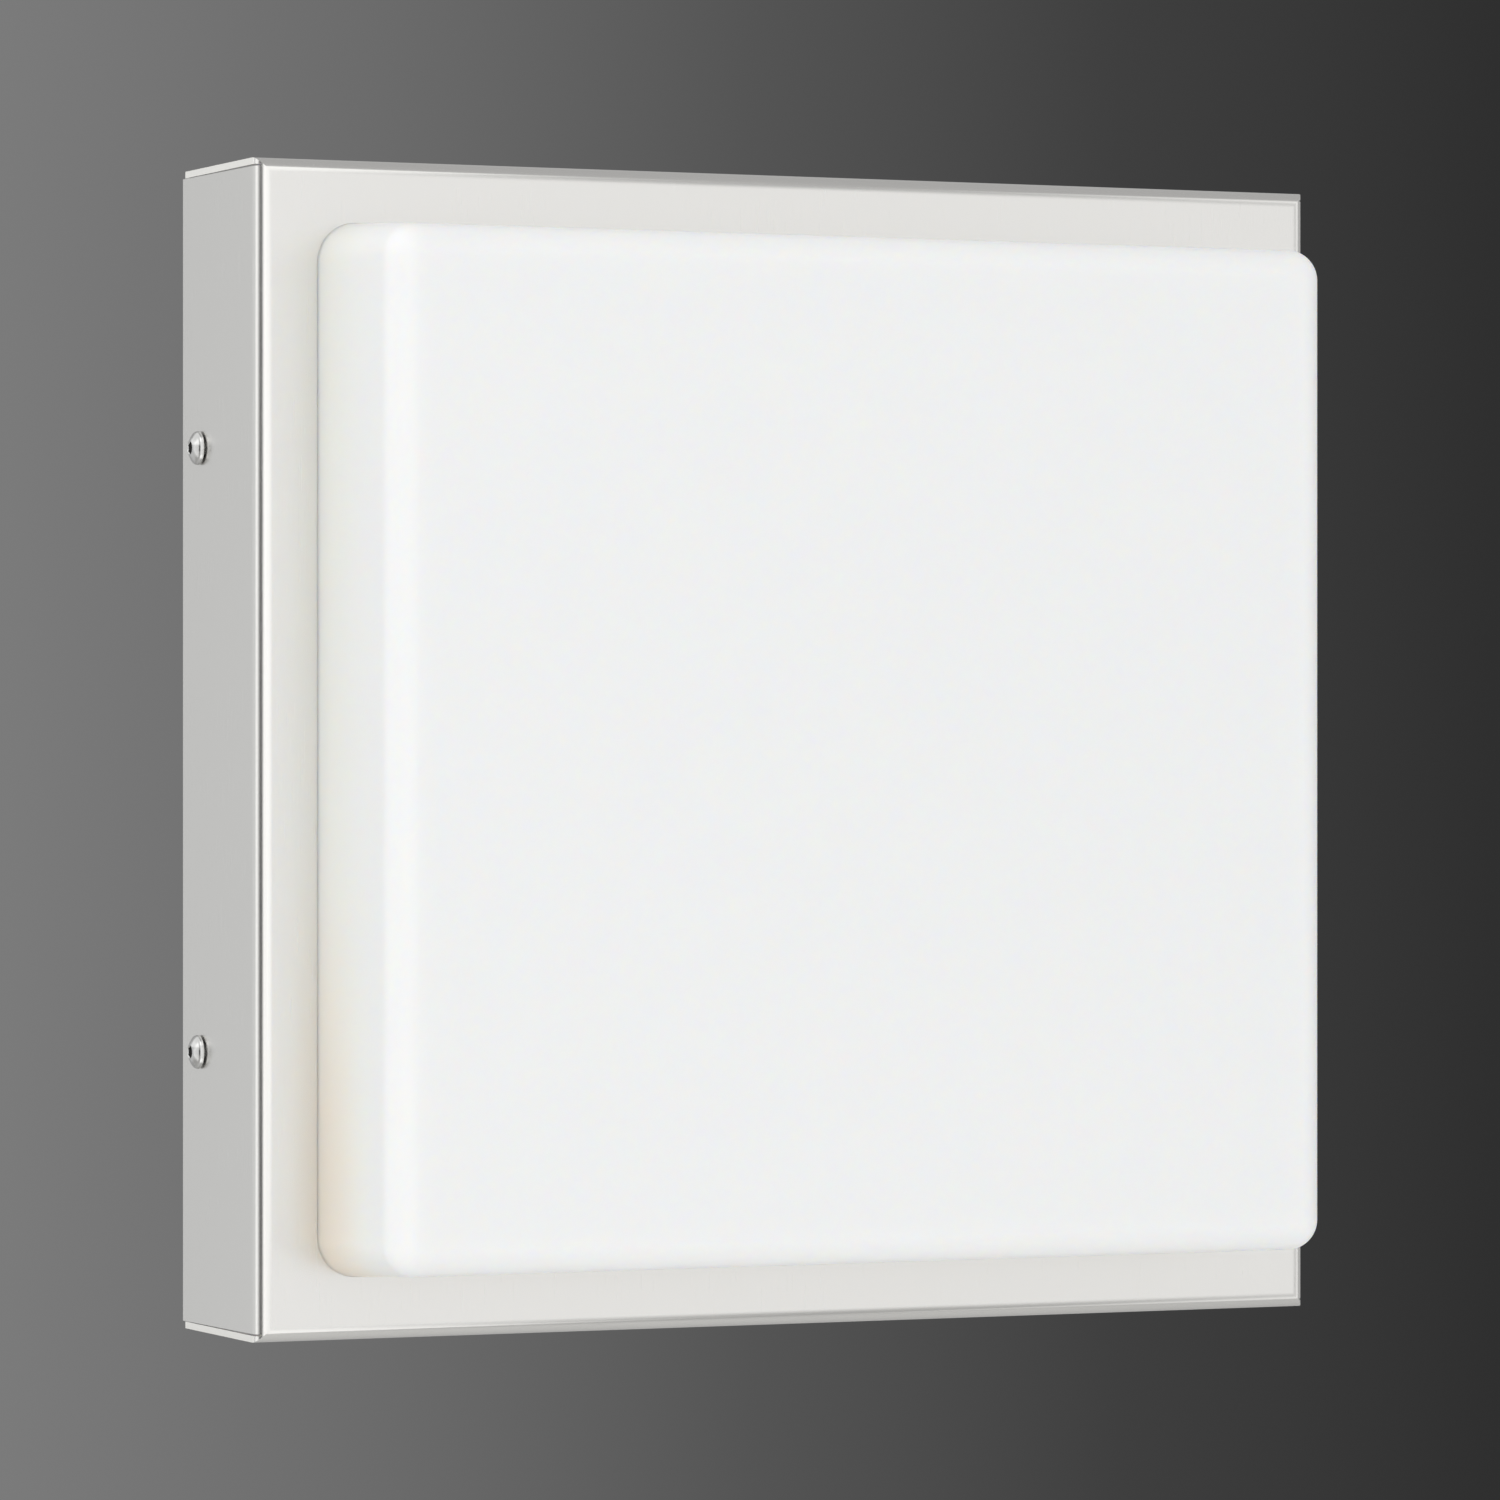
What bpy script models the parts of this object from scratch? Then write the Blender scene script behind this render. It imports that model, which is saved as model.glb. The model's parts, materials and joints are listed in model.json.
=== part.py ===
"""Square stainless-steel outdoor wall light with an opal glass cover.

The wall is the plane y = 0 and the light faces -Y, with +Z up. The origin is the
centre of the face that rests on the wall. Lengths are in metres.
"""

import math

import bmesh
import bpy
from mathutils import Matrix, Vector

# Driving dimensions of the housing
SIDE = 0.260
DEPTH = 0.049
SHEET = 0.0015
BEND = 0.0035
SEAM = 0.00035
NOTCH = (0.0030, 0.0016)
GAP = 0.0003
HOLE_GAP = 0.00045
PLAY = 0.0001
HALF = SIDE / 2
INSIDE = HALF - SHEET
FRONT = -DEPTH
FRONT_INSIDE = FRONT + SHEET
COVER_BACK = -GAP

# Opal glass: half widths are those of its outer surface, the corner is in plan
GLASS_HALF = 0.1160
GLASS_FRONT_HALF = 0.1135
GLASS_REACH = 0.0402
GLASS_WALL = 0.004
GLASS_CORNER = 0.0090
GLASS_EDGE = 0.0060
GLASS_FLANGE = 0.006
GLASS_DRAFT = (GLASS_HALF - GLASS_FRONT_HALF) / GLASS_REACH
OPENING_GAP = 0.0002
GASKET = 0.002
GASKET_SETBACK = 0.0006
CORNER_STEPS = 5

# Wall bracket
BRACKET_HALF = 0.1275
BRACKET_HEIGHT = 0.240
BRACKET_REACH = 0.022
BRACKET_BEND = 0.003
SLOT_PLACE = (0.088, 0.104)
SLOT_LENGTH = 0.016
SLOT_WIDTH = 0.0056
CABLE_PLACE = -0.046
CABLE_HOLE = 0.011
CABLE_BORE = 0.0045

# Side screws, M4 button heads, and the bars they run in
SCREW_Y = -0.0118
SCREW_Z = 0.0675
M4 = 0.002
M3 = 0.0015
HEAD_RADIUS = 0.0038
HEAD_HEIGHT = 0.0022
HEX_FLATS = 0.0025
HEX_DEPTH = 0.0013
SCREW_CHAMFER = 0.0006
SCREW_LENGTH = 0.009
BAR_OUTER = 0.1257
BAR_THICK = 0.0025
BAR_WIDTH = 0.010
BAR_LENGTH = 0.160

# Glass clips on M3 studs
STUD_X = 0.1249
STUD_Z = 0.060
STUD_LENGTH = 0.0105
CLIP_WIDTH = 0.014
CLIP_SHEET = 0.0012
NUT_FLATS = 0.0055
NUT_HEIGHT = 0.0024

# Lamps and lampholders, on axes along X
LAMP_Y = -0.042
LAMP_Z = 0.055
HOLDER_BASE = 0.104
HOLDER_RADIUS = 0.021
HOLDER_LENGTH = 0.042
HOLDER_FLOOR = 0.014
HOLDER_BORE = 0.0149
HOLDER_FOOT = 0.026
HOLDER_FOOT_WIDTH = 0.036
HOLDER_UPRIGHT = 0.058
HOLDER_SCREW_SPREAD = 0.012
WIRE_HOLE_SPREAD = 0.006
WIRE_HOLE_HEIGHT = 0.007
WIRE_HOLE_DEPTH = 0.0055
RIVET_X = -0.088
RIVET_SPREAD = 0.011
RIVET_RADIUS = 0.0016
LAMP_SEAT = 0.0168
CAP_RADIUS = 0.0131
CAP_LENGTH = 0.0255
LAMP_RADIUS = 0.030
LAMP_LENGTH = 0.108
LAMP_JOINT = 0.062
GLOBE_WALL = 0.0014

# Terminal block and wiring
TERMINAL_X = 0.020
TERMINAL_HALF = (0.009, 0.0165)
TERMINAL_HEIGHT = 0.0155
POLE_PITCH = 0.011
POLE_Y = -0.0078
TERMINAL_SCREW_Z = 0.0055
TUNNEL_RADIUS = 0.0027
CLAMP_RADIUS = 0.0022
CLAMP_BORE = 0.0012
CLAMP_HALF = 0.0070
CLAMP_SCREW_RADIUS = 0.0016
CLAMP_SCREW_SPREAD = 0.0042
EARTH_X = 0.070
BARREL_RADIUS = 0.0016
BARREL_END = 0.0125
WIRE_RADIUS = 0.00095
WIRE_PAIR = 0.00115

PLATE_FRONT = -SHEET
ON_PLATE = PLATE_FRONT - GAP


# ---------------------------------------------------------------- scene helpers


def clear_scene():
    for obj in list(bpy.data.objects):
        bpy.data.objects.remove(obj, do_unlink=True)


def new_collection(name):
    collection = bpy.data.collections.new(name)
    bpy.context.scene.collection.children.link(collection)
    return collection


def make_material(name, colour, roughness, metallic=0.0):
    material = bpy.data.materials.new(name)
    material.use_nodes = True
    shader = material.node_tree.nodes["Principled BSDF"]
    shader.inputs["Base Color"].default_value = (*colour, 1.0)
    shader.inputs["Roughness"].default_value = roughness
    shader.inputs["Metallic"].default_value = metallic
    material.diffuse_color = (*colour, 1.0)
    return material


clear_scene()
PARTS = new_collection("wall_lantern")
CUTTERS = new_collection("cutters")

STEEL = make_material("brushed_stainless", (0.66, 0.65, 0.64), 0.32, 1.0)
ZINC = make_material("zinc_plated_steel", (0.55, 0.56, 0.57), 0.38, 1.0)
BRASS = make_material("brass", (0.72, 0.55, 0.28), 0.30, 1.0)
NICKEL = make_material("nickel_plated_brass", (0.70, 0.68, 0.64), 0.25, 1.0)
OPAL = make_material("opal_glass", (0.93, 0.92, 0.90), 0.35)
SILICONE = make_material("white_silicone", (0.80, 0.80, 0.78), 0.60)
RUBBER = make_material("black_rubber", (0.03, 0.03, 0.03), 0.65)
PORCELAIN = make_material("porcelain", (0.88, 0.86, 0.82), 0.20)
NYLON = make_material("white_nylon", (0.85, 0.85, 0.83), 0.45)
DIFFUSER = make_material("lamp_diffuser", (0.94, 0.94, 0.92), 0.45)
LAMP_WHITE = make_material("lamp_housing_white", (0.86, 0.86, 0.86), 0.40)
BROWN = make_material("brown_insulation", (0.16, 0.07, 0.03), 0.45)
BLUE = make_material("blue_insulation", (0.05, 0.14, 0.45), 0.45)
GREEN = make_material("green_yellow_insulation", (0.20, 0.42, 0.06), 0.45)


def link(name, data, material, parent=None, location=(0, 0, 0), rotation=(0, 0, 0)):
    obj = bpy.data.objects.new(name, data)
    PARTS.objects.link(obj)
    if not data.materials:
        data.materials.append(material)
    obj.parent = parent
    obj.location = location
    obj.rotation_euler = rotation
    return obj


def empty(name, location=(0, 0, 0), rotation=(0, 0, 0), parent=None):
    obj = bpy.data.objects.new(name, None)
    PARTS.objects.link(obj)
    obj.empty_display_size = 0.02
    obj.parent = parent
    obj.location = location
    obj.rotation_euler = rotation
    return obj


def to_mesh(name, bm):
    mesh = bpy.data.meshes.new(name)
    bm.normal_update()
    bm.to_mesh(mesh)
    bm.free()
    return mesh


def smooth(mesh, degrees=35):
    mesh.shade_smooth()
    mesh.set_sharp_from_angle(angle=math.radians(degrees))


# ---------------------------------------------------------------- shape helpers


def add_box(bm, low, high):
    low = Vector(low)
    high = Vector(high)
    size = Matrix.Diagonal((*(high - low), 1.0))
    matrix = Matrix.Translation((low + high) / 2) @ size
    return bmesh.ops.create_cube(bm, size=1.0, matrix=matrix)["verts"]


def add_rod(bm, start, end, radius, sides=12):
    start = Vector(start)
    end = Vector(end)
    turn = (end - start).to_track_quat("Z", "Y").to_matrix().to_4x4()
    matrix = Matrix.Translation((start + end) / 2) @ turn
    bmesh.ops.create_cone(
        bm,
        cap_ends=True,
        segments=sides,
        radius1=radius,
        radius2=radius,
        depth=(end - start).length,
        matrix=matrix,
    )


def add_rounded_box(bm, low, high, axis, radius, segments=3):
    """A box whose four edges along one axis are rounded."""
    verts = add_box(bm, low, high)
    edges = {edge for vert in verts for edge in vert.link_edges}
    along = [e for e in edges if abs(e.verts[0].co[axis] - e.verts[1].co[axis]) > 1e-6]
    bmesh.ops.bevel(bm, geom=along, offset=radius, segments=segments, profile=0.5, affect="EDGES")


def hex_radius(flats):
    return flats / math.sqrt(3)


def boolean(obj, operation, bm, name, parent=None):
    """Cuts or joins the closed shapes held in bm, given in the parent's frame."""
    tool = bpy.data.objects.new(name, to_mesh(name, bm))
    CUTTERS.objects.link(tool)
    tool.parent = parent
    tool.hide_render = True
    tool.display_type = "WIRE"
    modifier = obj.modifiers.new(name, "BOOLEAN")
    modifier.operation = operation
    modifier.solver = "EXACT"
    modifier.object = tool


def cut(obj, bm, parent=None):
    boolean(obj, "DIFFERENCE", bm, obj.name + "_cut", parent)


def join(obj, bm, parent=None):
    boolean(obj, "UNION", bm, obj.name + "_join", parent)


def solidify(obj, thickness, offset):
    modifier = obj.modifiers.new("thickness", "SOLIDIFY")
    modifier.thickness = thickness
    modifier.offset = offset
    modifier.use_even_offset = True


def turned_mesh(name, profile):
    """An outline of (radius, height) points that runs down its outer side."""
    mesh = bpy.data.meshes.new(name)
    edges = [(i, i + 1) for i in range(len(profile) - 1)]
    if profile[0][0] > 0:
        edges.append((len(profile) - 1, 0))
    mesh.from_pydata([(radius, 0.0, height) for radius, height in profile], edges, [])
    return mesh


def turn(obj, steps):
    modifier = obj.modifiers.new("turn", "SCREW")
    modifier.steps = steps
    modifier.render_steps = steps
    modifier.use_merge_vertices = True
    modifier.merge_threshold = 0.00001
    modifier.use_smooth_shade = True
    return obj


def turned(name, profile, material, steps=24, **place):
    return turn(link(name, turned_mesh(name, profile), material, **place), steps)


def arc(centre, radius, start, end, steps):
    """Points on an arc, (across, up), with its angles in degrees."""
    points = []
    for i in range(steps + 1):
        angle = math.radians(start + (end - start) * i / steps)
        points.append(
            (
                centre[0] + radius * math.cos(angle),
                centre[1] + radius * math.sin(angle),
            )
        )
    return points


def rounded_square(half, corner, steps):
    """Outline of a square with rounded corners, anticlockwise."""
    points = []
    for quarter in range(4):
        angle = 90 * quarter
        sx, sz = ((1, 1), (-1, 1), (-1, -1), (1, -1))[quarter]
        centre = (sx * (half - corner), sz * (half - corner))
        points += arc(centre, corner, angle, angle + 90, steps)
    return points


def plate(name, outlines, low, high, material, **place):
    """A flat plate between y = low and y = high, its outlines in X and Z."""
    curve = bpy.data.curves.new(name, "CURVE")
    curve.dimensions = "2D"
    curve.fill_mode = "BOTH"
    curve.extrude = (high - low) / 2
    for outline in outlines:
        spline = curve.splines.new("POLY")
        spline.points.add(len(outline) - 1)
        for point, (x, z) in zip(spline.points, outline):
            point.co = (x, z, 0.0, 1.0)
        spline.use_cyclic_u = True
    return link(
        name,
        curve,
        material,
        location=(0, (low + high) / 2, 0),
        rotation=(math.pi / 2, 0, 0),
        **place,
    )


def folded(name, path, thickness, bend, width, material, **place):
    """A sheet strip folded along a path of (x, y) points, its width centred on Z.

    The path is the strip's outer surface, with the sheet on its right-hand side,
    and bend is the radius there.
    """
    bm = bmesh.new()
    low = [bm.verts.new((x, y, -width / 2)) for x, y in path]
    high = [bm.verts.new((x, y, width / 2)) for x, y in path]
    for i in range(len(path) - 1):
        bm.faces.new((low[i], low[i + 1], high[i + 1], high[i]))
    folds = [bm.edges.get((low[i], high[i])) for i in range(1, len(path) - 1)]
    bmesh.ops.bevel(bm, geom=folds, offset=bend, segments=3, profile=0.5, affect="EDGES")
    obj = link(name, to_mesh(name, bm), material, **place)
    solidify(obj, thickness, 1)
    return obj


def edges_at_front(bm, front):
    return [e for e in bm.edges if all(abs(v.co.y - front) < 1e-6 for v in e.verts)]


# ---------------------------------------------------------------- cover


def cover_frame(cover):
    """Sheet folded back on all four sides, with the opening for the glass."""
    bm = bmesh.new()
    add_box(bm, (-HALF, FRONT, -HALF), (HALF, COVER_BACK, HALF))
    bm.normal_update()
    back_face = [face for face in bm.faces if face.normal.y > 0.9]
    bmesh.ops.delete(bm, geom=back_face, context="FACES_ONLY")
    bmesh.ops.bevel(
        bm,
        geom=edges_at_front(bm, FRONT),
        offset=BEND,
        segments=4,
        profile=0.5,
        affect="EDGES",
    )
    mesh = to_mesh("cover_frame", bm)
    frame = link("cover_frame", mesh, STEEL, parent=cover)
    solidify(frame, SHEET, -1)

    studs = bmesh.new()
    for x, z in clip_places():
        add_rod(studs, (x, FRONT + SHEET / 2, z), (x, FRONT_INSIDE + STUD_LENGTH, z), M3, 10)
    join(frame, studs, cover)

    cuts = bmesh.new()
    opening = GLASS_HALF + OPENING_GAP
    add_rounded_box(
        cuts,
        (-opening, FRONT - SHEET, -opening),
        (opening, FRONT_INSIDE + SHEET, opening),
        1,
        GLASS_CORNER + OPENING_GAP,
        CORNER_STEPS,
    )
    for sx in (-1, 1):
        for sz in (-1, 1):
            corner_cuts(cuts, sx, sz)
            outer = sx * (HALF + SHEET)
            inner = sx * (INSIDE - SHEET / 2)
            centre = (SCREW_Y, sz * SCREW_Z)
            add_rod(cuts, (outer, *centre), (inner, *centre), M4 + HOLE_GAP, 16)
    cut(frame, cuts, cover)
    notches = bmesh.new()
    for sx in (-1, 1):
        for sz in (-1, 1):
            across = sorted((sx * (HALF + SHEET), sx * (HALF - NOTCH[0])))
            up = sorted((sz * (HALF + SHEET), sz * (INSIDE - SEAM / 2)))
            low = (across[0], COVER_BACK - NOTCH[1], up[0])
            add_box(notches, low, (across[1], SHEET, up[1]))
    boolean(frame, "DIFFERENCE", notches, "cover_frame_notches", cover)


def corner_cuts(cuts, sx, sz):
    """The open seam where a side flange ends under the top or bottom flange."""
    across = sorted((sx * (HALF + SHEET), sx * (INSIDE - SHEET / 2)))
    up = sorted((sz * (INSIDE - SEAM), sz * INSIDE))
    add_box(cuts, (across[0], FRONT + BEND / 4, up[0]), (across[1], SHEET, up[1]))


def dish_steps(wall, edge):
    """Insets, as (thickness, depth), for a drafted wall and a rounded front edge."""
    rounded = arc((0, 0), edge, 180, 90, CORNER_STEPS - 1)
    steps = [(GLASS_DRAFT * wall, wall)]
    for (across, up), (next_across, next_up) in zip(rounded, rounded[1:]):
        steps.append((next_across - across, next_up - up))
    return steps


def opal_glass(cover):
    """Dish pressed out of a flat flange, which stays behind the steel."""
    flange_front = FRONT_INSIDE + 2 * GAP + GASKET
    back = flange_front + GLASS_WALL
    rim = GLASS_HALF + GLASS_FLANGE
    bm = bmesh.new()
    add_rounded_box(
        bm,
        (-rim, flange_front, -rim),
        (rim, back, rim),
        1,
        GLASS_CORNER + GLASS_FLANGE,
        CORNER_STEPS,
    )
    bm.normal_update()
    outside = next(face for face in bm.faces if face.normal.y < -0.9)
    inside = next(face for face in bm.faces if face.normal.y > 0.9)
    behind = flange_front - FRONT
    outer_wall = behind + GLASS_REACH - GLASS_EDGE
    steps = [(GLASS_FLANGE - GLASS_DRAFT * behind, 0.0), *dish_steps(outer_wall, GLASS_EDGE)]
    for thickness, depth in steps:
        inset(bm, outside, thickness, depth)
    behind += GLASS_WALL
    ledge = GLASS_FLANGE + GLASS_WALL - GLASS_DRAFT * behind
    inner_wall = behind + GLASS_REACH - GLASS_EDGE
    for thickness, depth in [(ledge, 0.0), *dish_steps(inner_wall, GLASS_EDGE - GLASS_WALL)]:
        inset(bm, inside, thickness, -depth)
    mesh = to_mesh("opal_glass", bm)
    smooth(mesh)
    link("opal_glass", mesh, OPAL, parent=cover)


def inset(bm, face, thickness, depth):
    bmesh.ops.inset_individual(
        bm, faces=[face], thickness=thickness, depth=depth, use_even_offset=True
    )


def glass_gasket(cover):
    low = FRONT_INSIDE + GAP
    inner = GLASS_HALF + GASKET_SETBACK
    outer = GLASS_HALF + GLASS_FLANGE - GAP
    outlines = (
        rounded_square(outer, GLASS_CORNER + GLASS_FLANGE, CORNER_STEPS),
        rounded_square(inner, GLASS_CORNER + GASKET_SETBACK, CORNER_STEPS),
    )
    plate("glass_gasket", outlines, low, low + GASKET, SILICONE, parent=cover)


def clip_places():
    return [(sx * STUD_X, sz * STUD_Z) for sx in (-1, 1) for sz in (1, -1)]


def glass_clips(cover):
    """Bridge clips: one end stands on the steel, the other presses on the glass flange."""
    flange_back = FRONT_INSIDE + 2 * GAP + GASKET + GLASS_WALL
    seat = flange_back + GAP + CLIP_SHEET
    foot = INSIDE - GAP
    tip = GLASS_HALF + GASKET_SETBACK
    on_bend = FRONT_INSIDE + BEND - SHEET - 2 * GAP
    for number, (x, z) in enumerate(clip_places(), 1):
        side = math.copysign(1, x)
        path = [
            (side * foot, on_bend),
            (side * foot, seat),
            (side * tip, seat),
        ]
        if side > 0:
            path.reverse()
        clip = folded(
            f"glass_clip_{number}",
            path,
            CLIP_SHEET,
            0.0016,
            CLIP_WIDTH,
            ZINC,
            parent=cover,
            location=(0, 0, z),
        )
        hole = bmesh.new()
        add_rod(hole, (x, FRONT, z), (x, seat + SHEET, z), M3 + GAP)
        cut(clip, hole, cover)

        nut = bmesh.new()
        start = seat + GAP
        add_rod(nut, (x, start, z), (x, start + NUT_HEIGHT, z), hex_radius(NUT_FLATS), 6)
        nut = link(f"clip_nut_{number}", to_mesh("clip_nut", nut), ZINC, parent=cover)
        bore = bmesh.new()
        add_rod(bore, (x, start - SHEET, z), (x, start + NUT_HEIGHT + SHEET, z), M3 + GAP)
        cut(nut, bore, cover)


def nut_bars(cover):
    for name, side in (("nut_bar_left", -1), ("nut_bar_right", 1)):
        ends = sorted((side * BAR_OUTER, side * (BAR_OUTER - BAR_THICK)))
        bm = bmesh.new()
        add_box(
            bm,
            (ends[0], SCREW_Y - BAR_WIDTH / 2, -BAR_LENGTH / 2),
            (ends[1], SCREW_Y + BAR_WIDTH / 2, BAR_LENGTH / 2),
        )
        bar = link(name, to_mesh(name, bm), ZINC, parent=cover)
        holes = bmesh.new()
        for sz in (-1, 1):
            centre = (SCREW_Y, sz * SCREW_Z)
            start = (ends[0] - SHEET, *centre)
            add_rod(holes, start, (ends[1] + SHEET, *centre), M4 + HOLE_GAP, 16)
        cut(bar, holes, cover)


def button_head_profile(length):
    dome = 0.0016
    points = [(0.0, HEAD_HEIGHT)]
    rim = 0.0002
    for i in range(5):
        angle = math.radians(90 * i / 4)
        points.append(
            (
                dome + (HEAD_RADIUS - dome) * math.sin(angle),
                rim + (HEAD_HEIGHT - rim) * math.cos(angle),
            )
        )
    points += [(HEAD_RADIUS, 0.0), (M4, 0.0), (M4, SCREW_CHAMFER - length)]
    points += [(M4 - SCREW_CHAMFER, -length), (0.0, -length)]
    return points


def side_screws(cover):
    """Button-head screws; each one's own Z is its axis and points out of the housing."""
    mesh = turned_mesh("side_screw", button_head_profile(SCREW_LENGTH))
    for side_name, side in (("left", -1), ("right", 1)):
        for level_name, level in (("upper", 1), ("lower", -1)):
            screw = link(
                f"side_screw_{side_name}_{level_name}",
                mesh,
                STEEL,
                parent=cover,
                location=(side * (HALF + GAP), SCREW_Y, level * SCREW_Z),
                rotation=(0, side * math.pi / 2, 0),
            )
            turn(screw, 16)
            socket = bmesh.new()
            bottom = HEAD_HEIGHT - HEX_DEPTH
            add_rod(socket, (0, 0, bottom), (0, 0, HEAD_HEIGHT + SHEET), hex_radius(HEX_FLATS), 6)
            cut(screw, socket, screw)


# ---------------------------------------------------------------- wall side


def wall_bracket():
    path = (
        (-BRACKET_HALF, -BRACKET_REACH),
        (-BRACKET_HALF, 0.0),
        (BRACKET_HALF, 0.0),
        (BRACKET_HALF, -BRACKET_REACH),
    )
    bracket = folded("wall_bracket", path, SHEET, BRACKET_BEND, BRACKET_HEIGHT, ZINC)
    cuts = bmesh.new()
    near = SHEET
    far = -2 * SHEET
    slot_end = SLOT_WIDTH / 2 - PLAY
    guide_half = M4 + GAP
    for sx in (-1, 1):
        flange = sorted((sx * (BRACKET_HALF + SHEET), sx * (BRACKET_HALF - 2 * SHEET)))
        for sz in (-1, 1):
            x, z = sx * SLOT_PLACE[0], sz * SLOT_PLACE[1]
            low = (x - SLOT_LENGTH / 2, far, z - SLOT_WIDTH / 2)
            high = (x + SLOT_LENGTH / 2, near, z + SLOT_WIDTH / 2)
            add_rounded_box(cuts, low, high, 1, slot_end)
            z = sz * SCREW_Z
            low = (flange[0], -BRACKET_REACH - SLOT_WIDTH, z - guide_half)
            high = (flange[1], SCREW_Y + guide_half, z + guide_half)
            add_rounded_box(cuts, low, high, 0, guide_half - PLAY)
    holes = [
        (CABLE_PLACE, 0.0, CABLE_HOLE, 24),
        (TERMINAL_X, TERMINAL_SCREW_Z, M3 + GAP, 12),
        (EARTH_X, 0.0, M4 + GAP, 16),
    ]
    for sign in (1, -1):
        for spread in (RIVET_SPREAD, -RIVET_SPREAD):
            holes.append((sign * RIVET_X, sign * (LAMP_Z + spread), RIVET_RADIUS + GAP, 12))
    for x, z, radius, sides in holes:
        add_rod(cuts, (x, near, z), (x, far, z), radius, sides)
    cut(bracket, cuts)


def cable_grommet():
    neck = CABLE_HOLE - GAP - PLAY
    flange = CABLE_HOLE + 0.0025
    profile = (
        (CABLE_BORE + 0.001, 0.0045),
        (CABLE_BORE + 0.003, 0.0045),
        (flange - 0.001, 0.0030),
        (flange, 0.0020),
        (flange, 0.0),
        (neck, 0.0),
        (neck, -SHEET),
        (CABLE_BORE + 0.001, -SHEET),
        (CABLE_BORE, 0.0),
        (CABLE_BORE, 0.0030),
    )
    return turned(
        "cable_grommet",
        profile,
        RUBBER,
        20,
        location=(CABLE_PLACE, ON_PLATE, 0),
        rotation=(math.pi / 2, 0, 0),
    )


def pan_head(radius, height, shank, length):
    """Profile of a pan-head screw with its underside at height 0."""
    points = [(0.0, height)]
    for i in range(3):
        angle = math.radians(45 * i)
        points.append(
            (
                radius * (0.55 + 0.45 * math.sin(angle)),
                height * (0.35 + 0.65 * math.cos(angle)),
            )
        )
    points += [(radius, 0.0), (shank, 0.0), (shank, -length), (0.0, -length)]
    return points


def slotted_screw(name, radius, height, shank, length, material, **place):
    screw = turned(name, pan_head(radius, height, shank, length), material, 12, **place)
    slot = bmesh.new()
    wide = 0.0004
    add_box(
        slot,
        (-2 * radius, -wide, height * 0.55),
        (2 * radius, wide, height + SHEET),
    )
    cut(screw, slot, screw)
    return screw


def facing_out(x, y, z):
    """Place of a screw whose own Z, its head end, points away from the wall."""
    return {"location": (x, y, z), "rotation": (math.pi / 2, 0, 0)}


def terminal_block():
    far = ON_PLATE - TERMINAL_HEIGHT
    half_x, half_z = TERMINAL_HALF
    bm = bmesh.new()
    add_box(bm, (TERMINAL_X - half_x, far, -half_z), (TERMINAL_X + half_x, ON_PLATE, half_z))
    rim = edges_at_front(bm, far)
    bmesh.ops.bevel(bm, geom=rim, offset=0.0012, segments=2, profile=0.5, affect="EDGES")
    block = link("terminal_block", to_mesh("terminal_block", bm), NYLON)

    cuts = bmesh.new()
    z = TERMINAL_SCREW_Z
    add_rod(cuts, (TERMINAL_X, SHEET, z), (TERMINAL_X, far - SHEET, z), M3 + GAP)
    cut(block, cuts)
    tunnels = bmesh.new()
    shafts = bmesh.new()
    low = TERMINAL_X - half_x - SHEET
    high = TERMINAL_X + half_x + SHEET
    for number, pole in enumerate((1, 0, -1), 1):
        z = pole * POLE_PITCH
        add_rod(tunnels, (low, POLE_Y, z), (high, POLE_Y, z), TUNNEL_RADIUS)
        for x in clamp_screw_places():
            add_rod(shafts, (x, POLE_Y, z), (x, far - SHEET, z), CLAMP_SCREW_RADIUS + 0.0005, 10)
        terminal_clamp(number, z, far)
    boolean(block, "DIFFERENCE", tunnels, "terminal_block_tunnels")
    boolean(block, "DIFFERENCE", shafts, "terminal_block_shafts")
    slotted_screw(
        "terminal_screw",
        0.00275,
        0.0019,
        M3,
        TERMINAL_HEIGHT + GAP + SHEET,
        ZINC,
        **facing_out(TERMINAL_X, far - GAP, TERMINAL_SCREW_Z),
    )


def clamp_screw_places():
    return (TERMINAL_X - CLAMP_SCREW_SPREAD, TERMINAL_X + CLAMP_SCREW_SPREAD)


def terminal_clamp(number, z, far):
    """A brass sleeve for the conductors, with its two clamping screws."""
    low = (TERMINAL_X - CLAMP_HALF, POLE_Y, z)
    high = (TERMINAL_X + CLAMP_HALF, POLE_Y, z)
    bm = bmesh.new()
    add_rod(bm, low, high, CLAMP_RADIUS)
    clamp = link(f"terminal_clamp_{number}", to_mesh("terminal_clamp", bm), BRASS)
    screws = bmesh.new()
    slots = bmesh.new()
    bores = bmesh.new()
    top = far + 0.0012
    for x in clamp_screw_places():
        add_rod(screws, (x, POLE_Y, z), (x, top, z), CLAMP_SCREW_RADIUS, 8)
        add_box(slots, (x - 0.003, top - SHEET, z - 0.0003), (x + 0.003, top + 0.0007, z + 0.0003))
    join(clamp, screws)
    add_rod(bores, low, high, CLAMP_BORE, 8)
    cut(clamp, slots)
    boolean(clamp, "DIFFERENCE", bores, f"terminal_clamp_{number}_bore")


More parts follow.
